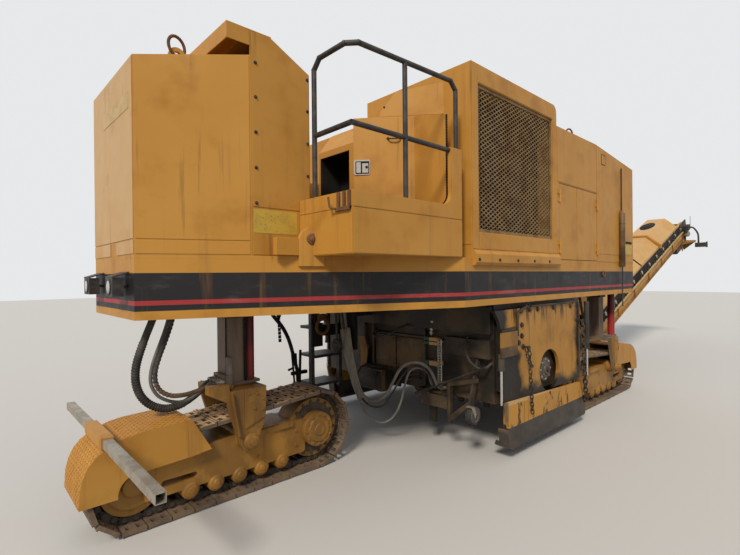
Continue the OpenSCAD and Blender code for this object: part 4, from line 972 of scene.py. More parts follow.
for track, (s, y, body, facing, node) in TRACKS.items():
    lugs = []
    for r, (spot, run) in enumerate(along_line(FENDER_LINE, LUG_STEP)):
        out, across = Vector((-facing * run.y, 0, run.x)), Vector((0, 1, 0))
        turn = Matrix((across.cross(out), across, out)).transposed()
        for c in range(18):
            lean = math.radians(45 if (r + c) % 2 else -45)
            place = at(s + facing * (spot.x - WHEEL_BASE / 2), y - 204 + c * LUG_STEP, IDLER_R + spot.y)
            lugs.append((place, turn @ Matrix.Rotation(lean, 3, "Z")))
    repeat(track + "_fender_tread", LUG, lugs, paint_fender, YELLOW, body, smooth=False)
    print(track, "fender:", len(lugs), "tread lugs")

# %% [markdown]
# The fork over the front track is a bolted weldment: a box on top, a tapered plate on each
# side and a big round pivot nut. The red lift cylinder and the greased column stand on it.

# %% Fork, pivot and lift cylinders
# Leg axis, place of its lift cylinder, rear edge of its fork, and the bodies of column and fork
LEG_PLACES = {"front": (1078, 0, 146, 0, 158, "front_leg", "front_crawler"),
              "rear_near": (5778, -880, 90, -165, 98, "rear_crawler_near", "rear_crawler_near"),
              "rear_far": (5778, 880, 90, 165, 98, "rear_crawler_far", "rear_crawler_far")}
for leg, (s, y, lift_s, lift_y, edge, column_body, fork_body) in LEG_PLACES.items():
    Workshop().turned((42.5, 812, 42.5, 1890, 38, 1897), (s + lift_s, y + lift_y, 0), UP, 32).hand_over(
        leg + "_lift_cylinder", COLUMN, red_paint, 2, column_body)
    fork, heads = Workshop(), []
    for side in (-1, 1):
        face, out = y + side * 242.5, (0, side, 0)
        fork.prism([(s - 15, 789), (s + edge, 789), (s + edge - 8, 575), (s + edge - 18, 560), (s - 15, 500)],
                   "y", face, face + side * 10)
        fork.prism([(s - 130, 789), (s - 118, 789), (s - 62, 470), (s - 74, 460)], "y", face, face + side * 30)
        fork.turned((60, 0, 60, 18, 50, 24, 50, 36, 40, 40), (s + 32, face, 405), out, 32)
        fork.turned((30, 30, 30, 54, 25, 58), (s + 32, face, 405), out, 6)
        heads += [at(s + share * edge, face + side * 10, z)
                  for share, z in ((0.08, 755), (0.5, 745), (0.8, 700), (0.38, 640), (0.8, 620))]
    fork.hand_over(leg + "_fork_plates", YELLOW, paint_low, 3, fork_body)
    near_and_far(leg + "_fork_bolts", heads, y, 13, fork_body)
print("three legs dressed")

# %% [markdown]
# ## Body panels
# The CAD tower, platform and hood are smooth boxes. The real ones are skinned with sheet,
# and you see that from the thin dark gaps between one sheet and the next. So each sheet
# is laid on as a separate 4 mm skin, cut to its outline and set a gap away from its
# neighbour. A skin is drawn by station and height, and a function of the station gives
# the plane that it lies on, so the tapered nose needs no rotation.

# %% Sheets that lie on a side
SHEET = 4
NEAR, BOTH = (-1,), (-1, 1)


def straight(_station):
    return HALF_WIDTH


def housing_side(_station):
    return nose_y(890)


def rect(s0, s1, z0, z1):
    return [(s0, z0), (s1, z0), (s1, z1), (s0, z1)]


def skins(shop, base, sides, *outlines, low=0.4, high=SHEET):
    """Sheets cut to outlines of (station, z), on one or both sides of the machine."""
    for side in sides:
        for outline in outlines:
            shop.solid(*([at(s, side * (base(s) + lift), z) for s, z in outline] for lift in (low, high)))
    return shop


def tower_roof(s):
    return 2880 + (s - 274) * 110 / 616


# %% [markdown]
# The tower has one tall sheet on each side over a narrow kick strip, and the same in
# front, where the strip is parted by a slot. A bare plate is left where a name plate
# sat. The housing behind it is bolted on with two columns of bolts.

# %% Tower and rear housing
tower = Workshop()
for side in BOTH:
    skins(tower, nose_y, (side,),
          [(280, 1829), (882, 1829), (882, tower_roof(882) - 6), (280, tower_roof(280) - 6)],
          rect(280, 882, 1742, 1821))
    skins(tower, housing_side, (side,), [(899, 2045), (1329, 2045), (1329, 2980), (1045, 3136), (899, 3136)],
          rect(899, 1329, 1742, 2037))
tower.hand_over("tower_sheets", YELLOW, paint, 1.5, smooth=False)
Workshop().prism(rect(-456, 456, 1829, 2874), "x", 270.2, 273.6).prism(
    rect(-456, -108, 1742, 1821), "x", 270.2, 273.6).prism(rect(36, 456, 1742, 1821), "x", 270.2, 273.6).hand_over(
    "tower_face_sheets", YELLOW, paint_front, 1.5, smooth=False)
Workshop().prism([(-395, 2590), (160, 2590), (205, 2690), (-395, 2690)], "x", 268, 270).hand_over(
    "bare_name_plate", YELLOW, paint_pale, 1, smooth=False)
for side, name in ((-1, "near"), (1, "far")):
    spots = [at(s, side * (housing_side(s) + SHEET), z)
             for s in (924, 1318) for z in (2067, 2290, 2513, 2734, 2950)]
    bolts("housing_bolts_" + name, spots, (0, side, 0), 12, "chassis", dark_metal)
skins(Workshop(), housing_side, NEAR, rect(902, 1225, 1880, 2030), low=SHEET, high=SHEET + 1.5).hand_over(
    "bare_sign", YELLOW, plate_bare, 0.5, smooth=False)

# %% [markdown]
# A lug plate with a pin stands on the frame's edge beside the housing, with a short bar
# behind it. Such a lug takes the tie that holds the machine on a low loader. Its round
# top is an arc of points round the pin.

# %% Tie-down lugs and the platform's sheets
def arc(cx, cz, radius, start, end, count):
    angles = [math.radians(start + (end - start) * k / count) for k in range(count + 1)]
    return [(cx + radius * math.cos(a), cz + radius * math.sin(a)) for a in angles]


lugs, pins = Workshop(), Workshop()
for side in BOTH:
    skins(lugs, nose_y, (side,), [(1161, 1667), (1317, 1667)] + arc(1239, 1842, 78, 0, 180, 14), low=1, high=24)
    lugs.boxes((992, side * 775, 1738, 1165, side * 815, 1850))
    middle, out = (1239, side * (nose_y(1239) + 23), 1846), (-0.353, side * 0.936, 0)
    pins.turned((36, -10, 36, 10, 30, 16), middle, out).turned((20, 0, 20, 22, 16, 25), middle, out, 12)
lugs.hand_over("tie_down_lugs", YELLOW, paint, 3)
pins.hand_over("tie_down_pins", OILY, rusty_steel, 1.5)
skins(Workshop(), straight, NEAR,
      [(1254, 1740), (2326, 1740), (2326, 1990)] + arc(2306, 1990, 20, 0, 90, 4) + [(1254, 2010)],
      [(1254, 2017), (2200, 2017), (2326, 2017), (2326, 2536), (2204, 2536), (2204, 2215)]
      + arc(2110, 2205, 94, 0, -90, 6) + [(1254, 2111)]).prism(
    rect(-1241, -700, 1740, 2010), "x", 1246.2, 1249.6).prism(
    rect(-1241, -700, 2017, 2111), "x", 1246.2, 1249.6).hand_over(
    "platform_sheets", YELLOW, paint, 1.5, smooth=False)
hook = Workshop()
for y0, y1 in ((-1236, -1214), (-1188, -1166), (-1135, -1112)):
    hook.prism(rect(y0, y1, 2000, 2112), "x", 1232, 1246)
hook.prism(rect(-1236, -1100, 1996, 2018), "x", 1228, 1246)
hook.rods((1225, -1108, 2012, 1205, -1080, 2020, 7), (1205, -1080, 2020, 1200, -1072, 2085, 7), sides=10)
hook.hand_over("hook_bracket", OILY, rusty_steel, 2)
print("tower, housing and platform skinned")

# %% [markdown]
# The hood is skinned the same way. Its sheets follow the slope of the roof line, the
# cooler housing gets a flat frame round the mesh, and a rusty ledge runs below it. Far
# and near side share their outlines.

# %% Hood and cooler sheets
def hood_roof(s):
    return 3065 - max(0, s - 4885) * (3065 - 2958) / (6080 - 4885)


hood = Workshop()
for side in BOTH:
    skins(hood, straight, (side,), rect(3912, 4885, 2520, 3059),
          [(4895, 1830), (6074, 1830), (6074, hood_roof(6074) - 6), (4895, hood_roof(4895) - 6)],
          rect(4895, 6074, 1742, 1822))
    skins(hood, straight, (side,), [(5030, 2870), (5130, 2870), (5130, 2975), (5030, 2980)],
          low=SHEET, high=SHEET + 2)
hood.hand_over("hood_sheets", YELLOW, paint, 1.5, smooth=False)
skins(Workshop(), straight, NEAR, rect(2466, 2546, 1806, 3180), rect(3814, 3894, 1806, 3180),
      rect(2552, 3808, 1806, 1934), rect(2552, 3808, 3112, 3180)).prism(
    rect(-1241, -120, 1840, 3180), "x", 2456.2, 2459.6).hand_over(
    "cooler_sheets", YELLOW, paint, 1.5, smooth=False)
bolts("ledge_bolts", [at(2500 + 289 * k, -1283, 1722) for k in range(5)], (0, -1, 0), 13, "chassis",
      dark_metal)
print("hood and cooler skinned")

# %% [markdown]
# The cooler's guard is expanded metal: one sheet, slit and pulled, so that it opens into
# diamonds. Two sets of slanting strands would cross through each other. Instead each
# diamond is drawn once as a thin four-sided ring, and the repeat tree lays the rings
# point to point in staggered rows.

# %% Expanded mesh
def mesh_cell(width, height, strand, depth):
    shop = Workshop(0)
    rings = []
    for inset, y in ((0, -depth), (1, -depth), (1, depth), (0, depth)):
        w, h = width / 2 - 1.6 * strand * inset, height / 2 - strand * inset
        rings.append([shop.bm.verts.new(shop.point(x, y / 2, z)) for x, z in ((-w, 0), (0, -h), (w, 0), (0, h))])
    return pattern_of(shop.outward(shop.walls(rings, closed=True)), "mesh cell")


MESH_S0, MESH_S1, MESH_Z0, MESH_Z1 = 2550.5, 3809.5, 1940.5, 3104.5
BORDER, COLS, ROWS = 22, 18, 29
cell_w, cell_h = (MESH_S1 - MESH_S0 - 2 * BORDER) / COLS, (MESH_Z1 - MESH_Z0 - 2 * BORDER) / ROWS
cells = []
for j in range(1, 2 * ROWS):
    for i in range(1, COLS) if j % 2 == 0 else range(COLS):
        spot = at(MESH_S0 + BORDER + (i + 0.5 * (j % 2)) * cell_w, -HALF_WIDTH + 15,
                  MESH_Z0 + BORDER + j * cell_h / 2)
        cells.append((spot, Matrix.Identity(3)))
mesh_guard = repeat("cooler_guard", mesh_cell(cell_w, cell_h, 5.2, 5), cells, mesh_rust, "mesh_steel",
                    smooth=False)
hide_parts("cooler_mesh")
Workshop().boxes(*((s0, -HALF_WIDTH + 10, z0, s1, -HALF_WIDTH + 20, z1) for s0, s1, z0, z1 in (
    (MESH_S0, MESH_S1, MESH_Z0, MESH_Z0 + 26), (MESH_S0, MESH_S1, MESH_Z1 - 26, MESH_Z1),
    (MESH_S0, MESH_S0 + 26, MESH_Z0 + 27, MESH_Z1 - 27), (MESH_S1 - 26, MESH_S1, MESH_Z0 + 27, MESH_Z1 - 27)))
).hand_over("cooler_guard_rim", "mesh_steel", mesh_rust, 1.5, smooth=False)
print(len(cells), "diamonds,", len(mesh_guard.data.polygons), "faces")

# %% [markdown]
# ## Drum housing
# The front of the drum housing is where an old planer looks its age: a dark cross beam,
# ribs, brown access panels, a hydraulic motor lying across, a depth scale with its two
# colour-marked blocks and a threaded rod, all under a coat of oil. Everything here is a
# box, a rod or a turned shape, placed by its height and its distance from the centreline.

# %% Front wall of the drum housing
front = Workshop().boxes(
    (2850, -1135, 880, 2919, -655, 1040), (2870, -1130, 1090, 2919, 950, 1330), (2835, -630, 495, 2919, -340, 520),
    (2860, -535, 210, 2900, -465, 494), (2884, 325, 500, 2919, 350, 1088), (2884, -402, 530, 2919, -385, 1088),
    (2875, 460, 600, 2919, 500, 1088), (2890, -380, 985, 2919, 320, 1010))
front.rods(*((2900, -36, z - 30, 2900, -320, z + 30, 11) for z in (560, 600, 640)), sides=10)
front.rods((2800, -348, 460, 2800, -520, 540, 19), sides=14)
front.rods((2800, -520, 540, 2800, -1135, 825, 10), sides=12)
front.boxes((2794, -726, 385, 2806, -419, 500), (2806, -700, 400, 2919, -660, 440),
            (2790, -766, 280, 2830, -736, 630), (2830, -764, 560, 2919, -738, 610))
front.prism([(-750, 600), (-1060, 680), (-1060, 718), (-750, 640)], "x", 2792, 2812)
front.prism([(-750, 275), (-990, 480), (-990, 530), (-750, 335)], "x", 2792, 2812)
front.hand_over("housing_front", OILY, oily_steel, 4)
panels = Workshop().prism(rect(20, 315, 650, 975), "x", 2906, 2919)
panels.prism(rect(-378, 2, 665, 975), "x", 2906, 2919)
panels.prism([(40, 432), (425, 420), (417, 615), (400, 628), (39, 640)], "x", 2720, 2770)
panels.prism([(100, 790), (130, 780), (126, 720), (98, 728)], "x", 2901, 2906.5)
panels.hand_over("brown_panels", OILY, brown_panel, 5)
bolts("panel_bolts", [at(2906, y, z) for y in (45, 290, -22, -355) for z in (690, 950)], (-1, 0, 0), 10,
      "chassis", oily_steel, OILY)
motor = Workshop().turned((60, -20, 115, 0, 118, 30, 118, 330, 108, 350, 85, 360, 85, 390), (2785, 60, 525),
                          (0, 1, 0), 40)
for y in (100, 360):
    motor.ring((2785, y, 525), (0, 1, 0), 116, 8, 36)
motor.boxes((2800, 80, 610, 2919, 400, 650)).hand_over("cross_motor", OILY, oily_steel, 4)
print("drum housing front dressed")

# %% [markdown]
# The depth scale is a bar with a row of holes. Two blocks beside it carry its marks, half
# green and half yellow. A threaded rod with its nut stands above, and the loose hoses end
# in steel fittings on the wall.

# %% Depth scale, blocks and fittings
SCALE_HOLES = [(1, j) for j in range(1, 34, 2)]
scale = perforated(Workshop(), "x", [-648, -634, -612, -596], [575 + 12.5 * k for k in range(36)], SCALE_HOLES,
                   2826, 2832)
scale.outward(list(scale.bm.faces)).boxes(*((2832, -640, z - 12, 2919, -604, z + 12) for z in (600, 985)))
scale.hand_over("depth_scale", OILY, galvanised, 0)
BLOCKS = ((945, 975), (982, 1016), (750, 795))
Workshop().boxes(*((2834, -594, z0, 2919, -490, z1) for z0, z1 in BLOCKS)).hand_over(
    "scale_blocks", YELLOW, paint_front, 3)
Workshop().boxes(*((2836, -489, z0, 2919, -425, z1) for z0, z1 in BLOCKS)).hand_over(
    "scale_blocks_green", OILY, green_paint, 3)
fittings = Workshop().rods((2880, -480, 1030, 2880, -497, 1165, 10), sides=12)
for z in (1045, 1080, 1150):
    fittings.turned((20, 0, 20, 18), (2880, -482 - 0.12 * (z - 1030), z), UP, 6)
for y, r in ((-610, 20), (-570, 15), (-540, 16)):
    fittings.turned((r * 0.82, -60, r * 0.82, -22, r, -20, r, 0), (2919, y, 545), (1, 0, 0), 14)
fittings.hand_over("hose_fittings", OILY, galvanised, 1.5)
bent = pipe(Workshop(), route("2890 -900 1060 2810 -910 980 2790 -990 850 2820 -1090 800 2890 -1140 850"), 10)
pipe(bent, route("2890 -190 1120 2760 -190 1090 2680 -40 1000 2720 160 990 2890 240 1010"), 9)
bent.hand_over("bent_pipes", OILY, dark_metal, 0)
print("depth scale with", len(SCALE_HOLES), "holes")

# %% [markdown]
# The side plate covers the drum's hub, which lies deep in its round hole. It hangs from
# big bolts, with two rings, a rod and a pipe at its top. Chains hold the skid, and two
# chrome rods with black jackets guide it. A chain is a row of oval links that turn a
# quarter each, laid by the repeat tree along a sagging line.

# %% Side plates, hubs and skid guides
oval = Workshop(0).ring(ORIGIN, (0, 1, 0), 11, 3.8, 14, 6)
for v in oval.bm.verts:
    v.co.z += 0.007 * (1 if v.co.z > 0 else -1)
OVAL = pattern_of(oval, "oval link")


def chain(name, start, end, sag, size=1.3):
    start, end = at(*start), at(*end)
    count = int((end - start).length / (0.0275 * size))
    places = []
    for k in range(count + 1):
        t = k / count
        spot = start.lerp(end, t) + Vector((0, 0, -4 * sag * t * (1 - t)))
        run = (end - start) / count + Vector((0, 0, -4 * sag * (1 - 2 * t) / count))
        places.append((spot, aim(run, math.pi / 2 * (k % 2))))
    repeat(name, OVAL, places, oily_steel, OILY, size=size)


PLATE = 1215.5
for side, name in ((-1, "_near"), (1, "_far")):
    out = (0, side, 0)

    def off(y):
        """A place y mm in front of the plate."""
        return side * (PLATE + y)
    Workshop().turned((118, -22, 118, 0, 108, 6, 86, 4, 78, 14, 52, 16, 46, 28, 30, 30),
                      (HUB_S, side * 1165, HUB_Z), out, 40).hand_over("drum_hub" + name, OILY, hub_steel, 2, "drum")
    Workshop().turned((27, 0, 27, 10, 22, 14), (HUB_S, side * 1195, HUB_Z), out, 20).hand_over(
        "drum_hub_cap" + name, OILY, dull_red, 2, "drum")
    bolts("hub_bolts" + name, circle_of(at(HUB_S, side * 1170, HUB_Z), out, 96, 8), out, 13, "drum", galvanised,
          OILY)
    bolts("plate_bolts" + name, [at(s, off(0), z) for s, z in (
        (3234, 1277), (3394, 1282), (3543, 1277), (3865, 1275), (4245, 1269), (3249, 1152), (3247, 1055),
        (3195, 999))], out, 25, "chassis", oily_steel)
    trim = Workshop()
    for s in (3340, 4290):
        trim.ring((s, off(12), 1322), (0, 1, 0), 26, 7, 20, 8)
    trim.rods((3400, off(14), 1312, 4240, off(14), 1312, 9), sides=10)
    pipe(trim, [at(s, off(12), z) for s, z in ((3160, 1060), (3160, 1200), (3180, 1270), (3330, 1318))], 12)
    for part, z0, z1, finish in (("low", 900, 985, brown_panel), ("high", 985, 1110, paint_low)):
        Workshop().boxes((2890, off(0), z0, 3145, off(22), z1)).hand_over("bracket_" + part + name, OILY, finish, 2)
    trim.prism([(2884, 1110), (3145, 1110), (3130, 1150), (2920, 1135)], "y", off(0), off(12))
    trim.boxes((4425, off(0), 620, 4452, off(14), 1290)).hand_over("plate_trim" + name, OILY, oily_steel, 2)
    rods, jackets = Workshop(), Workshop()
    for s, y, z0, z1, z2 in ((2922, side * 1205, 495, 786, 925), (4700, side * 1200, 475, 772, 1296)):
        rods.rods((s, y, z0, s, y, z1, 13))
        jackets.rods((s, y, z1, s, y, z2, 27), sides=20).turned((31, 0, 31, 30), (s, y, z1), UP, 20)
    rods.hand_over("guide_rods" + name, OILY, chrome, 1)
    jackets.hand_over("guide_jackets" + name, OILY, dark_metal, 2)
    chain("skid_chain_front" + name, (3286, off(53), 940), (3333, off(53), 370), 0.02)
    chain("skid_chain_loop" + name, (3250, off(46), 935), (3330, off(52), 780), 0.03)
    chain("skid_chain_rear" + name, (4405, off(60), 1090), (4485, off(60), 275), 0.02, 1.7)
    eyes = Workshop()
    for s, z in ((3270, 955), (4405, 1110)):
        eyes.rods((s, off(-10), z, s, off(56), z, 11), sides=10).turned((26, 0, 26, 8), (s, off(0), z), out, 14)
    eyes.hand_over("chain_eyes" + name, OILY, oily_steel, 1)
print("side plates dressed, chain link has", len(OVAL.data.polygons), "faces")

# %% [markdown]
# ## Under the deck
# Between the front leg and the drum the machine is open, and you see through to the far
# side. What hangs there is thin and black against the light: the far ladder's lock box
# and ring, a bent arm, a strap and a bunch of levers. Their outline matters more than
# their surface, so they are rods, boxes and rings.

# %% Arm, levers, lock box and ring
far_side = pipe(Workshop(), route("1860 800 1299 1930 800 1197 2030 800 1079 2107 800 938 2166 800 750 2209 800 592 "
                                  "2235 800 413"), 20, 30, 12)
far_side.rods((2136, 790, 796, 2168, 790, 442, 11), (2182, 790, 791, 2205, 790, 430, 13),
              (2243, 790, 821, 2228, 790, 433, 15), (2090, 790, 625, 2160, 790, 642, 12), sides=10)
far_side.boxes((2130, 770, 565, 2320, 810, 600), (2130, 770, 440, 2260, 810, 465))
far_side.boxes(*((1972 + 2 * k, 794, 1156 - 38 * k, 2004 + 2 * k, 806, 1190 - 38 * k) for k in range(7)))
far_side.boxes((1966, 788, 1188, 2010, 812, 1299), (2273, 610, 863, 2409, 639, 1110),
               (2300, 600, 1100, 2360, 636, 1299), (2409, 590, 972, 2690, 630, 1085))
far_side.hand_over("far_levers", OILY, gap_black, 3)
Workshop().ring((2369, 560, 1078), (0, 1, 0), 76, 18, 32, 12).boxes((2325, 560, 1140, 2412, 600, 1210)).hand_over(
    "tow_ring", OILY, rusty_steel, 3)
print("far side: arm, levers, lock box and ring")

# %% [markdown]
# Nearer the drum a clamp roller leads the hose sleeve past a black post, and a yellow
# blade-shaped guard stands in front of the housing wall.

# %% Clamp, post and blade guard
Workshop().turned((40, -16, 66, -14, 70, 0, 66, 14, 40, 16, 34, 26), (2445, 425, 885), (-1, 0, 0), 28).rods(
    (2455, 425, 900, 2455, 450, 1299, 12), (2445, 425, 885, 2465, 365, 850, 20), sides=12).hand_over(
    "hose_clamp", OILY, dark_metal, 3)
Workshop().boxes((2545, 250, 845, 2585, 300, 1299), (2545, 301, 960, 2575, 385, 1299),
                 (2620, 330, 1180, 2900, 400, 1299)).hand_over("clamp_post", OILY, gap_black, 3)
Workshop().prism([(558, 929), (450, 939), (405, 790), (444, 505), (527, 505), (520, 777)], "x", 2862, 2874).boxes(
    (2874, 440, 800, 2919, 520, 840)).hand_over("blade_guard", YELLOW, paint_low, 2)
print("clamp, post and guard made")

# %% [markdown]
# The grade wheel gets a worn rim ring, an axle cap and the slanted fork plate that holds
# it.

# %% Grade wheel
AXLE = (2735, -1070, 414)
Workshop().turned((62, 0, 60, 4, 50, 6, 46, 1), AXLE, (0, -1, 0), 36).turned(
    (16, 0, 16, 13, 10, 16), AXLE, (0, -1, 0), 18).hand_over("wheel_rim", OILY, hub_steel, 1, "sensor_wheel")
Workshop().prism([(2718, 400), (2752, 400), (2706, 498), (2672, 492)], "y", -1083, -1078.5).boxes(
    (2674, -1083, 492, 2712, -1018, 500)).hand_over("wheel_fork", OILY, galvanised, 1)
print("grade wheel: rim, axle cap and fork plate")

# %% [markdown]
# The front leg carries a short pipe stub with a domed cap beside its column, and a dark
# strip of painted shade in the gap between the column and the red cylinder. The blocks
# where the hoses end get their fittings.

# %% Front leg details
LEG = "front_leg"
Workshop().turned((24, 0, 24, 208, 18, 214), (1004, -118, 802), UP).hand_over(
    "leg_stub", COLUMN, pale_rubber, 2, LEG)
Workshop().turned((40, 0, 40, 18, 32, 26), (1004, -118, 788.5), UP, 28).hand_over(
    "stub_foot", YELLOW, paint_low, 3, LEG)
# painted shade: thin near-black strips for the shaded gap beside the column
Workshop().boxes((1140, -86.2, 815, 1163.2, -85.2, 1640), (991.5, -86.2, 888, 1003, -85.2, 1640)).hand_over(
    "column_seams", COLUMN, gap_black, 0, LEG, smooth=False)
ends, top_ends = Workshop(), Workshop()
for y, z, r in ((0, 840, 31), (-120, 840, 21), (-65, 850, 16)):
    ends.turned((r * 0.85, -60, r * 0.85, -26, r, -24, r, 0), (959.5, y, z), (1, 0, 0), 16)
ends.hand_over("front_hose_fittings", COLUMN, galvanised, 1.5, LEG)
for s, y, r in ((570, 0, 36), (600, -210, 24), (600, -150, 19)):
    top_ends.turned((r, 0, r, 30, r * 0.88, 34, r * 0.88, 60), (s, y, 1699), (0, 0, -1), 16)
for y in (400, 430, 460):
    top_ends.turned((14.5, 0, 14.5, 30, 12.5, 34, 12.5, 60), (2500, y, 1699), (0, 0, -1), 12)
top_ends.hand_over("deck_hose_fittings", COLUMN, galvanised, 1.5)
print("front leg details made")

# %% [markdown]
# ## Operator's console
# The console stands at a slant across the platform. Its door is a flat sheet with one
# round corner and a black toothed rubber seal, a grey paddle latch and a bow handle. All
# of it lies in one slanted plane, so a helper turns a place along the plane, a height and
# a distance in front of it into a point.

# %% A slanted plane
SLANT_START = at(1970, -420, 0)
SLANT_RUN = Vector((0.470, -0.550, 0)).normalized()
SLANT_OUT = Vector((-0.7602, -0.6496, 0)).normalized()


def on_slant(t, z, lift=0):
    return SLANT_START + (SLANT_RUN * t + SLANT_OUT * lift + Vector((0, 0, z))) / 1000


def slants(shop, low, high, *outlines):
    """Outlines of (way along, height) in the slanted plane, with thickness."""
    for outline in outlines:
        shop.solid(*([on_slant(t, z, lift) for t, z in outline] for lift in (low, high)))
    return shop


def round_rect(t0, t1, z0, z1, r):
    corners = ((t1 - r, z0 + r, -90), (t1 - r, z1 - r, 0), (t0 + r, z1 - r, 90), (t0 + r, z0 + r, 180))
    return [p for cx, cz, start in corners for p in arc(cx, cz, r, start, start + 90, 4)]


# %% [markdown]
# The seal's teeth are small blocks that the repeat tree lays along the door's edge.

# %% Door, seal, latch and handle
door = slants(Workshop(), 1, 12, [(4, 2080)] + arc(700, 2145, 65, -90, 0, 6) + [(765, 2905), (4, 2905)])
slants(door, -10, -4, [(225, 2912), (722, 2912), (863, 2936), (860, 3165), (707, 3165), (357, 3113), (225, 2951)])
door.hand_over("console_door", YELLOW, paint, 1.5, smooth=False)
TOOTH = pattern_of(Workshop(0).boxes((-6, -3, -3.5, 6, 10, 3.5)), "seal tooth")
slant_turn = Matrix((SLANT_RUN, SLANT_OUT, Vector((0, 0, 1)))).transposed()
seal_line = [(772, 2900 - 12 * k) for k in range(62)] + arc(702, 2143, 70, 0, -75, 8)
repeat("console_seal_teeth", TOOTH, [(on_slant(t, z, 6), slant_turn) for t, z in seal_line], gap_black, RUBBER,
       smooth=False)
slants(Workshop(), 1, 14, rect(765.2, 769, 2145, 2905)).hand_over("console_seal", RUBBER, gap_black, 0)
latch = slants(Workshop(), 12, 19, round_rect(6, 141, 2434, 2559, 14))
slants(latch, 23, 29, round_rect(28, 66, 2450, 2538, 5))
slants(latch, 23, 27, round_rect(76, 128, 2450, 2528, 6)).hand_over("console_latch", RAIL, pale_plastic, 1.5)
# painted shade: near black in the latch's recess behind the paddles
slants(Workshop(), 19, 22.5, round_rect(20, 134, 2445, 2546, 6)).turned(
    (11, 0, 11, 3), on_slant(114, 2496, 27), SLANT_OUT, 18).hand_over("latch_recess", RAIL, gap_black, 0.5)

# %% [markdown]
# The platform's rear wall hides the right part of the slanted door, so the door goes on as
# a flat sheet in front of that wall, with the seal round its free edge. The console's
# opening is lined with near black, painted shade for its dark inside.

# %% Door in front of the wall, black opening
WALL_S = 2293
Workshop().prism([(-800, 2110)] + arc(-1066, 2212, 62, -90, -180, 6) + [(-1128, 2832), (-800, 2905)], "x",
                 WALL_S - 4, WALL_S + 5).hand_over("console_side_door", YELLOW, paint, 1.5, smooth=False)
side_seal = [(-1132.5, 2826 - 12 * k) for k in range(52)] + arc(-1066, 2212, 66.5, 180, 270, 8)
wall_turn = Matrix(((0, -1, 0), (-1, 0, 0), (0, 0, 1)))
repeat("side_seal_teeth", TOOTH, [(at(WALL_S, y, z), wall_turn) for y, z in side_seal], gap_black, RUBBER,
       smooth=False)
# painted shade: a near-black lining inside the console's opening
Workshop().boxes(
    (2195.5, -366.5, 2320.5, 2199.5, 34.5, 2659.5), (1972, 31, 2320.5, 2195.5, 34.5, 2659.5),
    (1972, -366.5, 2320.5, 2195.5, -363.5, 2659.5), (1972, -363.5, 2656, 2195.5, 31, 2659.5),
    (1972, -363.5, 2320.5, 2195.5, 31, 2323.5)).hand_over("console_lining", RUBBER, core_black, 0, smooth=False)
bow = pipe(Workshop(), [on_slant(*p) for p in ((290, 2727, 10), (292, 2724, 28), (310, 2718, 40), (341, 2716, 42),
                                               (372, 2718, 40), (390, 2724, 28), (392, 2727, 10))], 6, 8)
for t in (290, 392):
    bow.turned((12, 0, 12, 5), on_slant(t, 2727, 12), SLANT_OUT, 12)
bow.hand_over("console_handle", RAIL, dark_metal, 0.8)
bolts("cowl_bolts", [on_slant(t, z, -4) for t, z in ((786, 3140), (790, 2959), (260, 2990), (420, 3090))],
      SLANT_OUT, 9, "chassis", dark_metal)
print("console: door, latch, handle and", len(seal_line), "seal teeth")

# %% [markdown]
# ## Lamps, rings and tubes
# Small things on the outside: a rubber flap over each front lamp, bow rings in the lifting
# eyes, and a long brown marker tube with a thin rod above and below it.

# %% Lamps, rings and marker tubes
flaps, faces, bows, tubes, thin = (Workshop() for _ in range(5))
for side in BOTH:
    y = side * 290
    flaps.prism([(182, 1612), (270, 1640), (270, 1632), (184, 1604)], "y", y - 85, y + 85)
    flaps.ring((182.5, y, 1550), (1, 0, 0), 44, 6, 24, 8)
    faces.turned((43, 0, 36, 6, 18, 9), (183.8, y, 1550), (-1, 0, 0))
    bows.ring((534, side * 438.1, 3016), (0.35, side * 0.93, 0), 60, 9.5, 32)
flaps.hand_over("lamp_hoods", RAIL, rail_paint, 2)
faces.hand_over("lamp_faces", RAIL, lamp_glass, 1)
bows.ring((4480, -1120, 3135), (0.25, 0.96, 0), 50, 9).ring((5060, -1256, 1600), (0, 1, 0), 30, 7, 24, 8)
bows.hand_over("bow_rings", OILY, rusty_steel, 0)
for side in BOTH:
    y = side * 1279.5
    tubes.turned((26, 0, 33.5, 10, 33.5, 655, 26, 664), (5592, y, 1685), UP, 28)
    for z in (1800, 2220):
        tubes.ring((5592, y, z), UP, 34, 4, 28, 8)
    thin.rods((5600, side * 1270, 2340, 5600, side * 1270, 2900, 9), (5592, y, 1200, 5592, y, 1690, 7), sides=10)
tubes.hand_over("marker_sleeves", OILY, brown_panel, 1.5)
thin.hand_over("marker_rods", OILY, dark_metal, 1)
skins(Workshop(), straight, NEAR, rect(5790, 6030, 1850, 1968), low=SHEET, high=SHEET + 1.5).hand_over(
    "bare_rear_sign", YELLOW, plate_bare, 0.5, smooth=False)
# painted shade: near-black sheets for the dark insides of a slot under the rear sign and of the gaps round a small
# plate
slits = skins(Workshop(), straight, NEAR, rect(5800, 6020, 1980, 2008), low=SHEET, high=SHEET + 1.2)
skins(slits, straight, NEAR, rect(5026, 5032, 2866, 2984), rect(5128, 5134, 2866, 2979), rect(5030, 5130, 2863, 2869),
      rect(5030, 5130, 2977, 2983), low=SHEET, high=SHEET + 3)
slits.hand_over("rear_slits", YELLOW, gap_black, 0, smooth=False)
print("lamps, rings and tubes made")

# %% [markdown]
# ## Loading conveyor
# The conveyor climbs at twenty degrees, so its pieces are drawn level and then turned
# together by one matrix. Between the cover and the side rail there is an open strip where
# the idler rollers show. The CAD side is closed there, so a near-black strip of painted
# shade stands for the dark inside of the gap, with the roller ends and their slanted
# stands in front of it.

# %% Conveyor side
SLOPE = Matrix.Translation(at(6600, 0, 560)) @ Matrix.Rotation(-math.radians(20), 4, "Y")
RAIL_TOP, RAIL_LOW, SIDE_Y = -30, -236, 400
BOOM = "conveyor_boom"


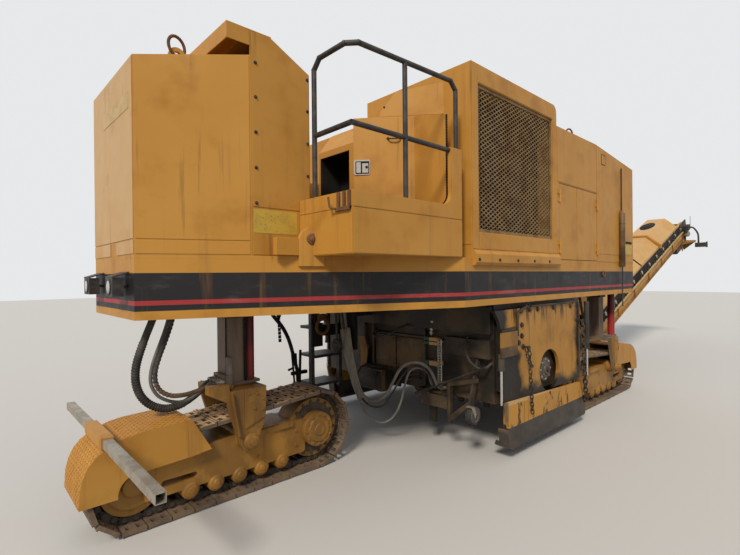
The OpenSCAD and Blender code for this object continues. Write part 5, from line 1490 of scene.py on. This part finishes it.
def on_slope(shop, name, slot, material, edge):
    """Tilts what was drawn level and hands it over."""
    bmesh.ops.transform(shop.bm, matrix=SLOPE, verts=shop.bm.verts)
    return shop.hand_over(name, slot, material, edge, BOOM)


gap, rail, edge, rollers, stands = (Workshop(0) for _ in range(5))
for side in BOTH:
    def out(y):
        """A place y mm outside the conveyor's side."""
        return side * (SIDE_Y + y)
    gap.boxes((50, out(0.5), RAIL_TOP + 2, 6150, out(2), 163))
    edge.boxes((300, out(0.5), RAIL_TOP - 14, 6150, out(32), RAIL_TOP + 4))
    rail.boxes((300, out(-10), RAIL_LOW, 6150, out(0), -165.5),
               (300, out(0.5), RAIL_LOW, 6150, out(24), RAIL_LOW + 10))
    rail.boxes(*((u, out(0.5), RAIL_LOW + 10, u + 12, out(20), RAIL_TOP - 12) for u in range(560, 5961, 900)))
    for u in range(420, 5900, 490):
        rollers.turned((40, 0, 44, 8, 44, 18, 16, 22, 14, 30), (u, out(2), 85), (0.25, side, 0.30), 18)
        stands.prism([(u - 90, -28), (u - 70, -28), (u + 10, 160), (u - 12, 160)], "y", out(2), out(16))
        stands.prism([(u + 60, -28), (u + 85, -28), (u + 45, 150), (u + 28, 150)], "y", out(2), out(12))
# painted shade: a near-black strip for the shaded inside of the open gap
on_slope(gap, "conveyor_gap", DARK, gap_black, 0)
on_slope(rail, "conveyor_rails", YELLOW, paint_low, 1.5)
on_slope(edge, "conveyor_rail_edges", YELLOW, paint_pale, 1.5)
on_slope(rollers, "idler_rollers", DARK, galvanised, 1)
on_slope(stands, "idler_stands", DARK, dark_metal, 1)
print("conveyor: 24 idler rollers")

# %% [markdown]
# The cover has a standing flange where two of its lengths meet and an oval hand hole. The
# head carries a motor, a dark drive box with a yellow guard blade, a stiff gooseneck with
# a lamp box, and an aerial.

# %% Cover flange and conveyor head
COVER = [(-408, 167), (-408, 212), (-183, 436), (183, 436), (408, 212), (408, 167)]
shell = [(y * 1.10, v + 30 * (v > 200)) for y, v in COVER]
flange = Workshop(0)
for (a, b), (c, d) in zip(zip(COVER, COVER[1:]), zip(shell, shell[1:])):
    flange.prism([a, b, d, c], "x", 4110, 4160)
on_slope(flange, "cover_flange", YELLOW, paint, 2)
oval_hole = [(5000 + 290 * math.cos(t), 20 + 140 * math.sin(t)) for t in turns(32)]
# painted shade: a near-black oval for the dark inside of the hand hole
on_slope(Workshop(0).prism(oval_hole, "z", 425.8, 427.5), "hand_hole", DARK, gap_black, 0)
head = Workshop(0).rods((6100, -375, 20, 6100, 375, 20, 118), sides=40)
head.rods((6220, -420, 60, 6220, 420, 60, 30), sides=20)
head.boxes((5420, -400, -400, 6000, -60, -240), (5780, -425, 30, 6150, -405, 200),
           (5960, -540, -10, 6120, -402, 110))
on_slope(head, "drive_box", DARK, dark_metal, 4)
on_slope(Workshop(0).turned((50, -100, 64, -90, 66, 0, 58, 12, 30, 18), (6060, -500, -110), (-0.35, -1, 0), 28),
         "head_motor", DARK, galvanised, 2)
blade = Workshop(0).prism([(5800, -400), (6000, -640), (6060, -640), (6100, -400)], "z", -300, -270)
blade.prism([(-400, -480), (-640, -290), (-400, -270)], "x", 5985, 6010)
blade.prism([(5800, -460), (6090, -400), (6090, -300), (5800, -300)], "y", -412, -400)
on_slope(blade, "guard_blade", YELLOW, paint_low, 2)
neck = pipe(Workshop(), route("12400 -400 2520 12400 -434 2606 12400 -472 2657 12400 -563 2686 12400 -638 2608 "
                              "12400 -682 2496 12400 -688 2300"), 19, 20, 12)
neck.boxes((12340, -835, 2212, 12460, -629, 2312), (12370, -860, 2200, 12430, -836, 2330))
neck.rods((12400, -400, 2400, 12400, -527, 2720, 7), (12400, -527, 2707, 12400, -527, 2952, 5), sides=8)
neck.boxes((12380, -440, 2390, 12430, -385, 2530)).hand_over("gooseneck_lamp", DARK, rail_paint, 2, BOOM)
print("conveyor head dressed")

# %% [markdown]
# A plain pale floor carries the shadow. The floor throws back less light than it shows to
# the camera, because the real machine stands on dark stone. The light is a soft sky with
# one large lamp, at a level where a colour renders about as it is written.

# %% Floor and light
def straight_rays(tree, rays):
    """1 for rays that come from the camera, a mirror or glass."""
    found = rays.outputs["Is Camera Ray"]
    for kind in ("Is Glossy Ray", "Is Transmission Ray"):
        either = tree.nodes.new("ShaderNodeMath")
        either.operation = "MAXIMUM"
        tree.links.new(found, either.inputs[0])
        tree.links.new(rays.outputs[kind], either.inputs[1])
        found = either.outputs[0]
    return found


def pale_floor():
    mesh = bpy.data.meshes.new("floor")
    mesh.from_pydata([(x, y, -0.002) for x, y in ((-40, -40), (40, -40), (40, 40), (-40, 40))], [], [(0, 1, 2, 3)])
    floor = link(bpy.data.objects.new("floor", mesh))
    stone = bpy.data.materials.new("pale floor")
    stone.use_nodes = True
    tree = stone.node_tree
    surface = tree.nodes["Principled BSDF"]
    surface.inputs["Roughness"].default_value = 0.9
    seen, tone = tree.nodes.new("ShaderNodeLightPath"), tree.nodes.new("ShaderNodeMix")
    tone.data_type = "RGBA"
    tone.inputs[6].default_value, tone.inputs[7].default_value = (0.30, 0.28, 0.26, 1), (0.62, 0.60, 0.57, 1)
    tree.links.new(straight_rays(tree, seen), tone.inputs["Factor"])
    tree.links.new(tone.outputs[2], surface.inputs["Base Color"])
    mesh.materials.append(stone)
    floor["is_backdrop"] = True


def soft_sky():
    world = bpy.data.worlds.new("soft sky")
    world.use_nodes = True
    bpy.context.scene.world = world
    tree = world.node_tree
    sky = tree.nodes["Background"]
    sky.inputs["Color"].default_value = (0.86, 0.90, 0.96, 1)
    sky.inputs["Strength"].default_value = 0.56
    shown, rays, pick = (tree.nodes.new("ShaderNode" + kind) for kind in ("Background", "LightPath", "MixShader"))
    shown.inputs["Color"].default_value = (0.80, 0.81, 0.82, 1)
    tree.links.new(straight_rays(tree, rays), pick.inputs["Fac"])
    tree.links.new(sky.outputs[0], pick.inputs[1])
    tree.links.new(shown.outputs[0], pick.inputs[2])
    tree.links.new(pick.outputs[0], tree.nodes["World Output"].inputs["Surface"])


def low_sun():
    lamp = bpy.data.lights.new("low sun", "SUN")
    lamp.energy = 2.4
    lamp.angle = math.radians(12)
    lamp.color = (1.0, 0.93, 0.82)
    link(bpy.data.objects.new("low sun", lamp)).matrix_world = frame_for((-0.66, -0.38, 0.65))


pale_floor()
soft_sky()
low_sun()
bpy.context.scene.view_settings.view_transform = "Standard"

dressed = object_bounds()
sizes = {"cad": [list(map(float, c)) for c in cad_box], "visual": [list(map(float, c)) for c in dressed]}
print("CAD box", sizes["cad"], "dressed", sizes["visual"])
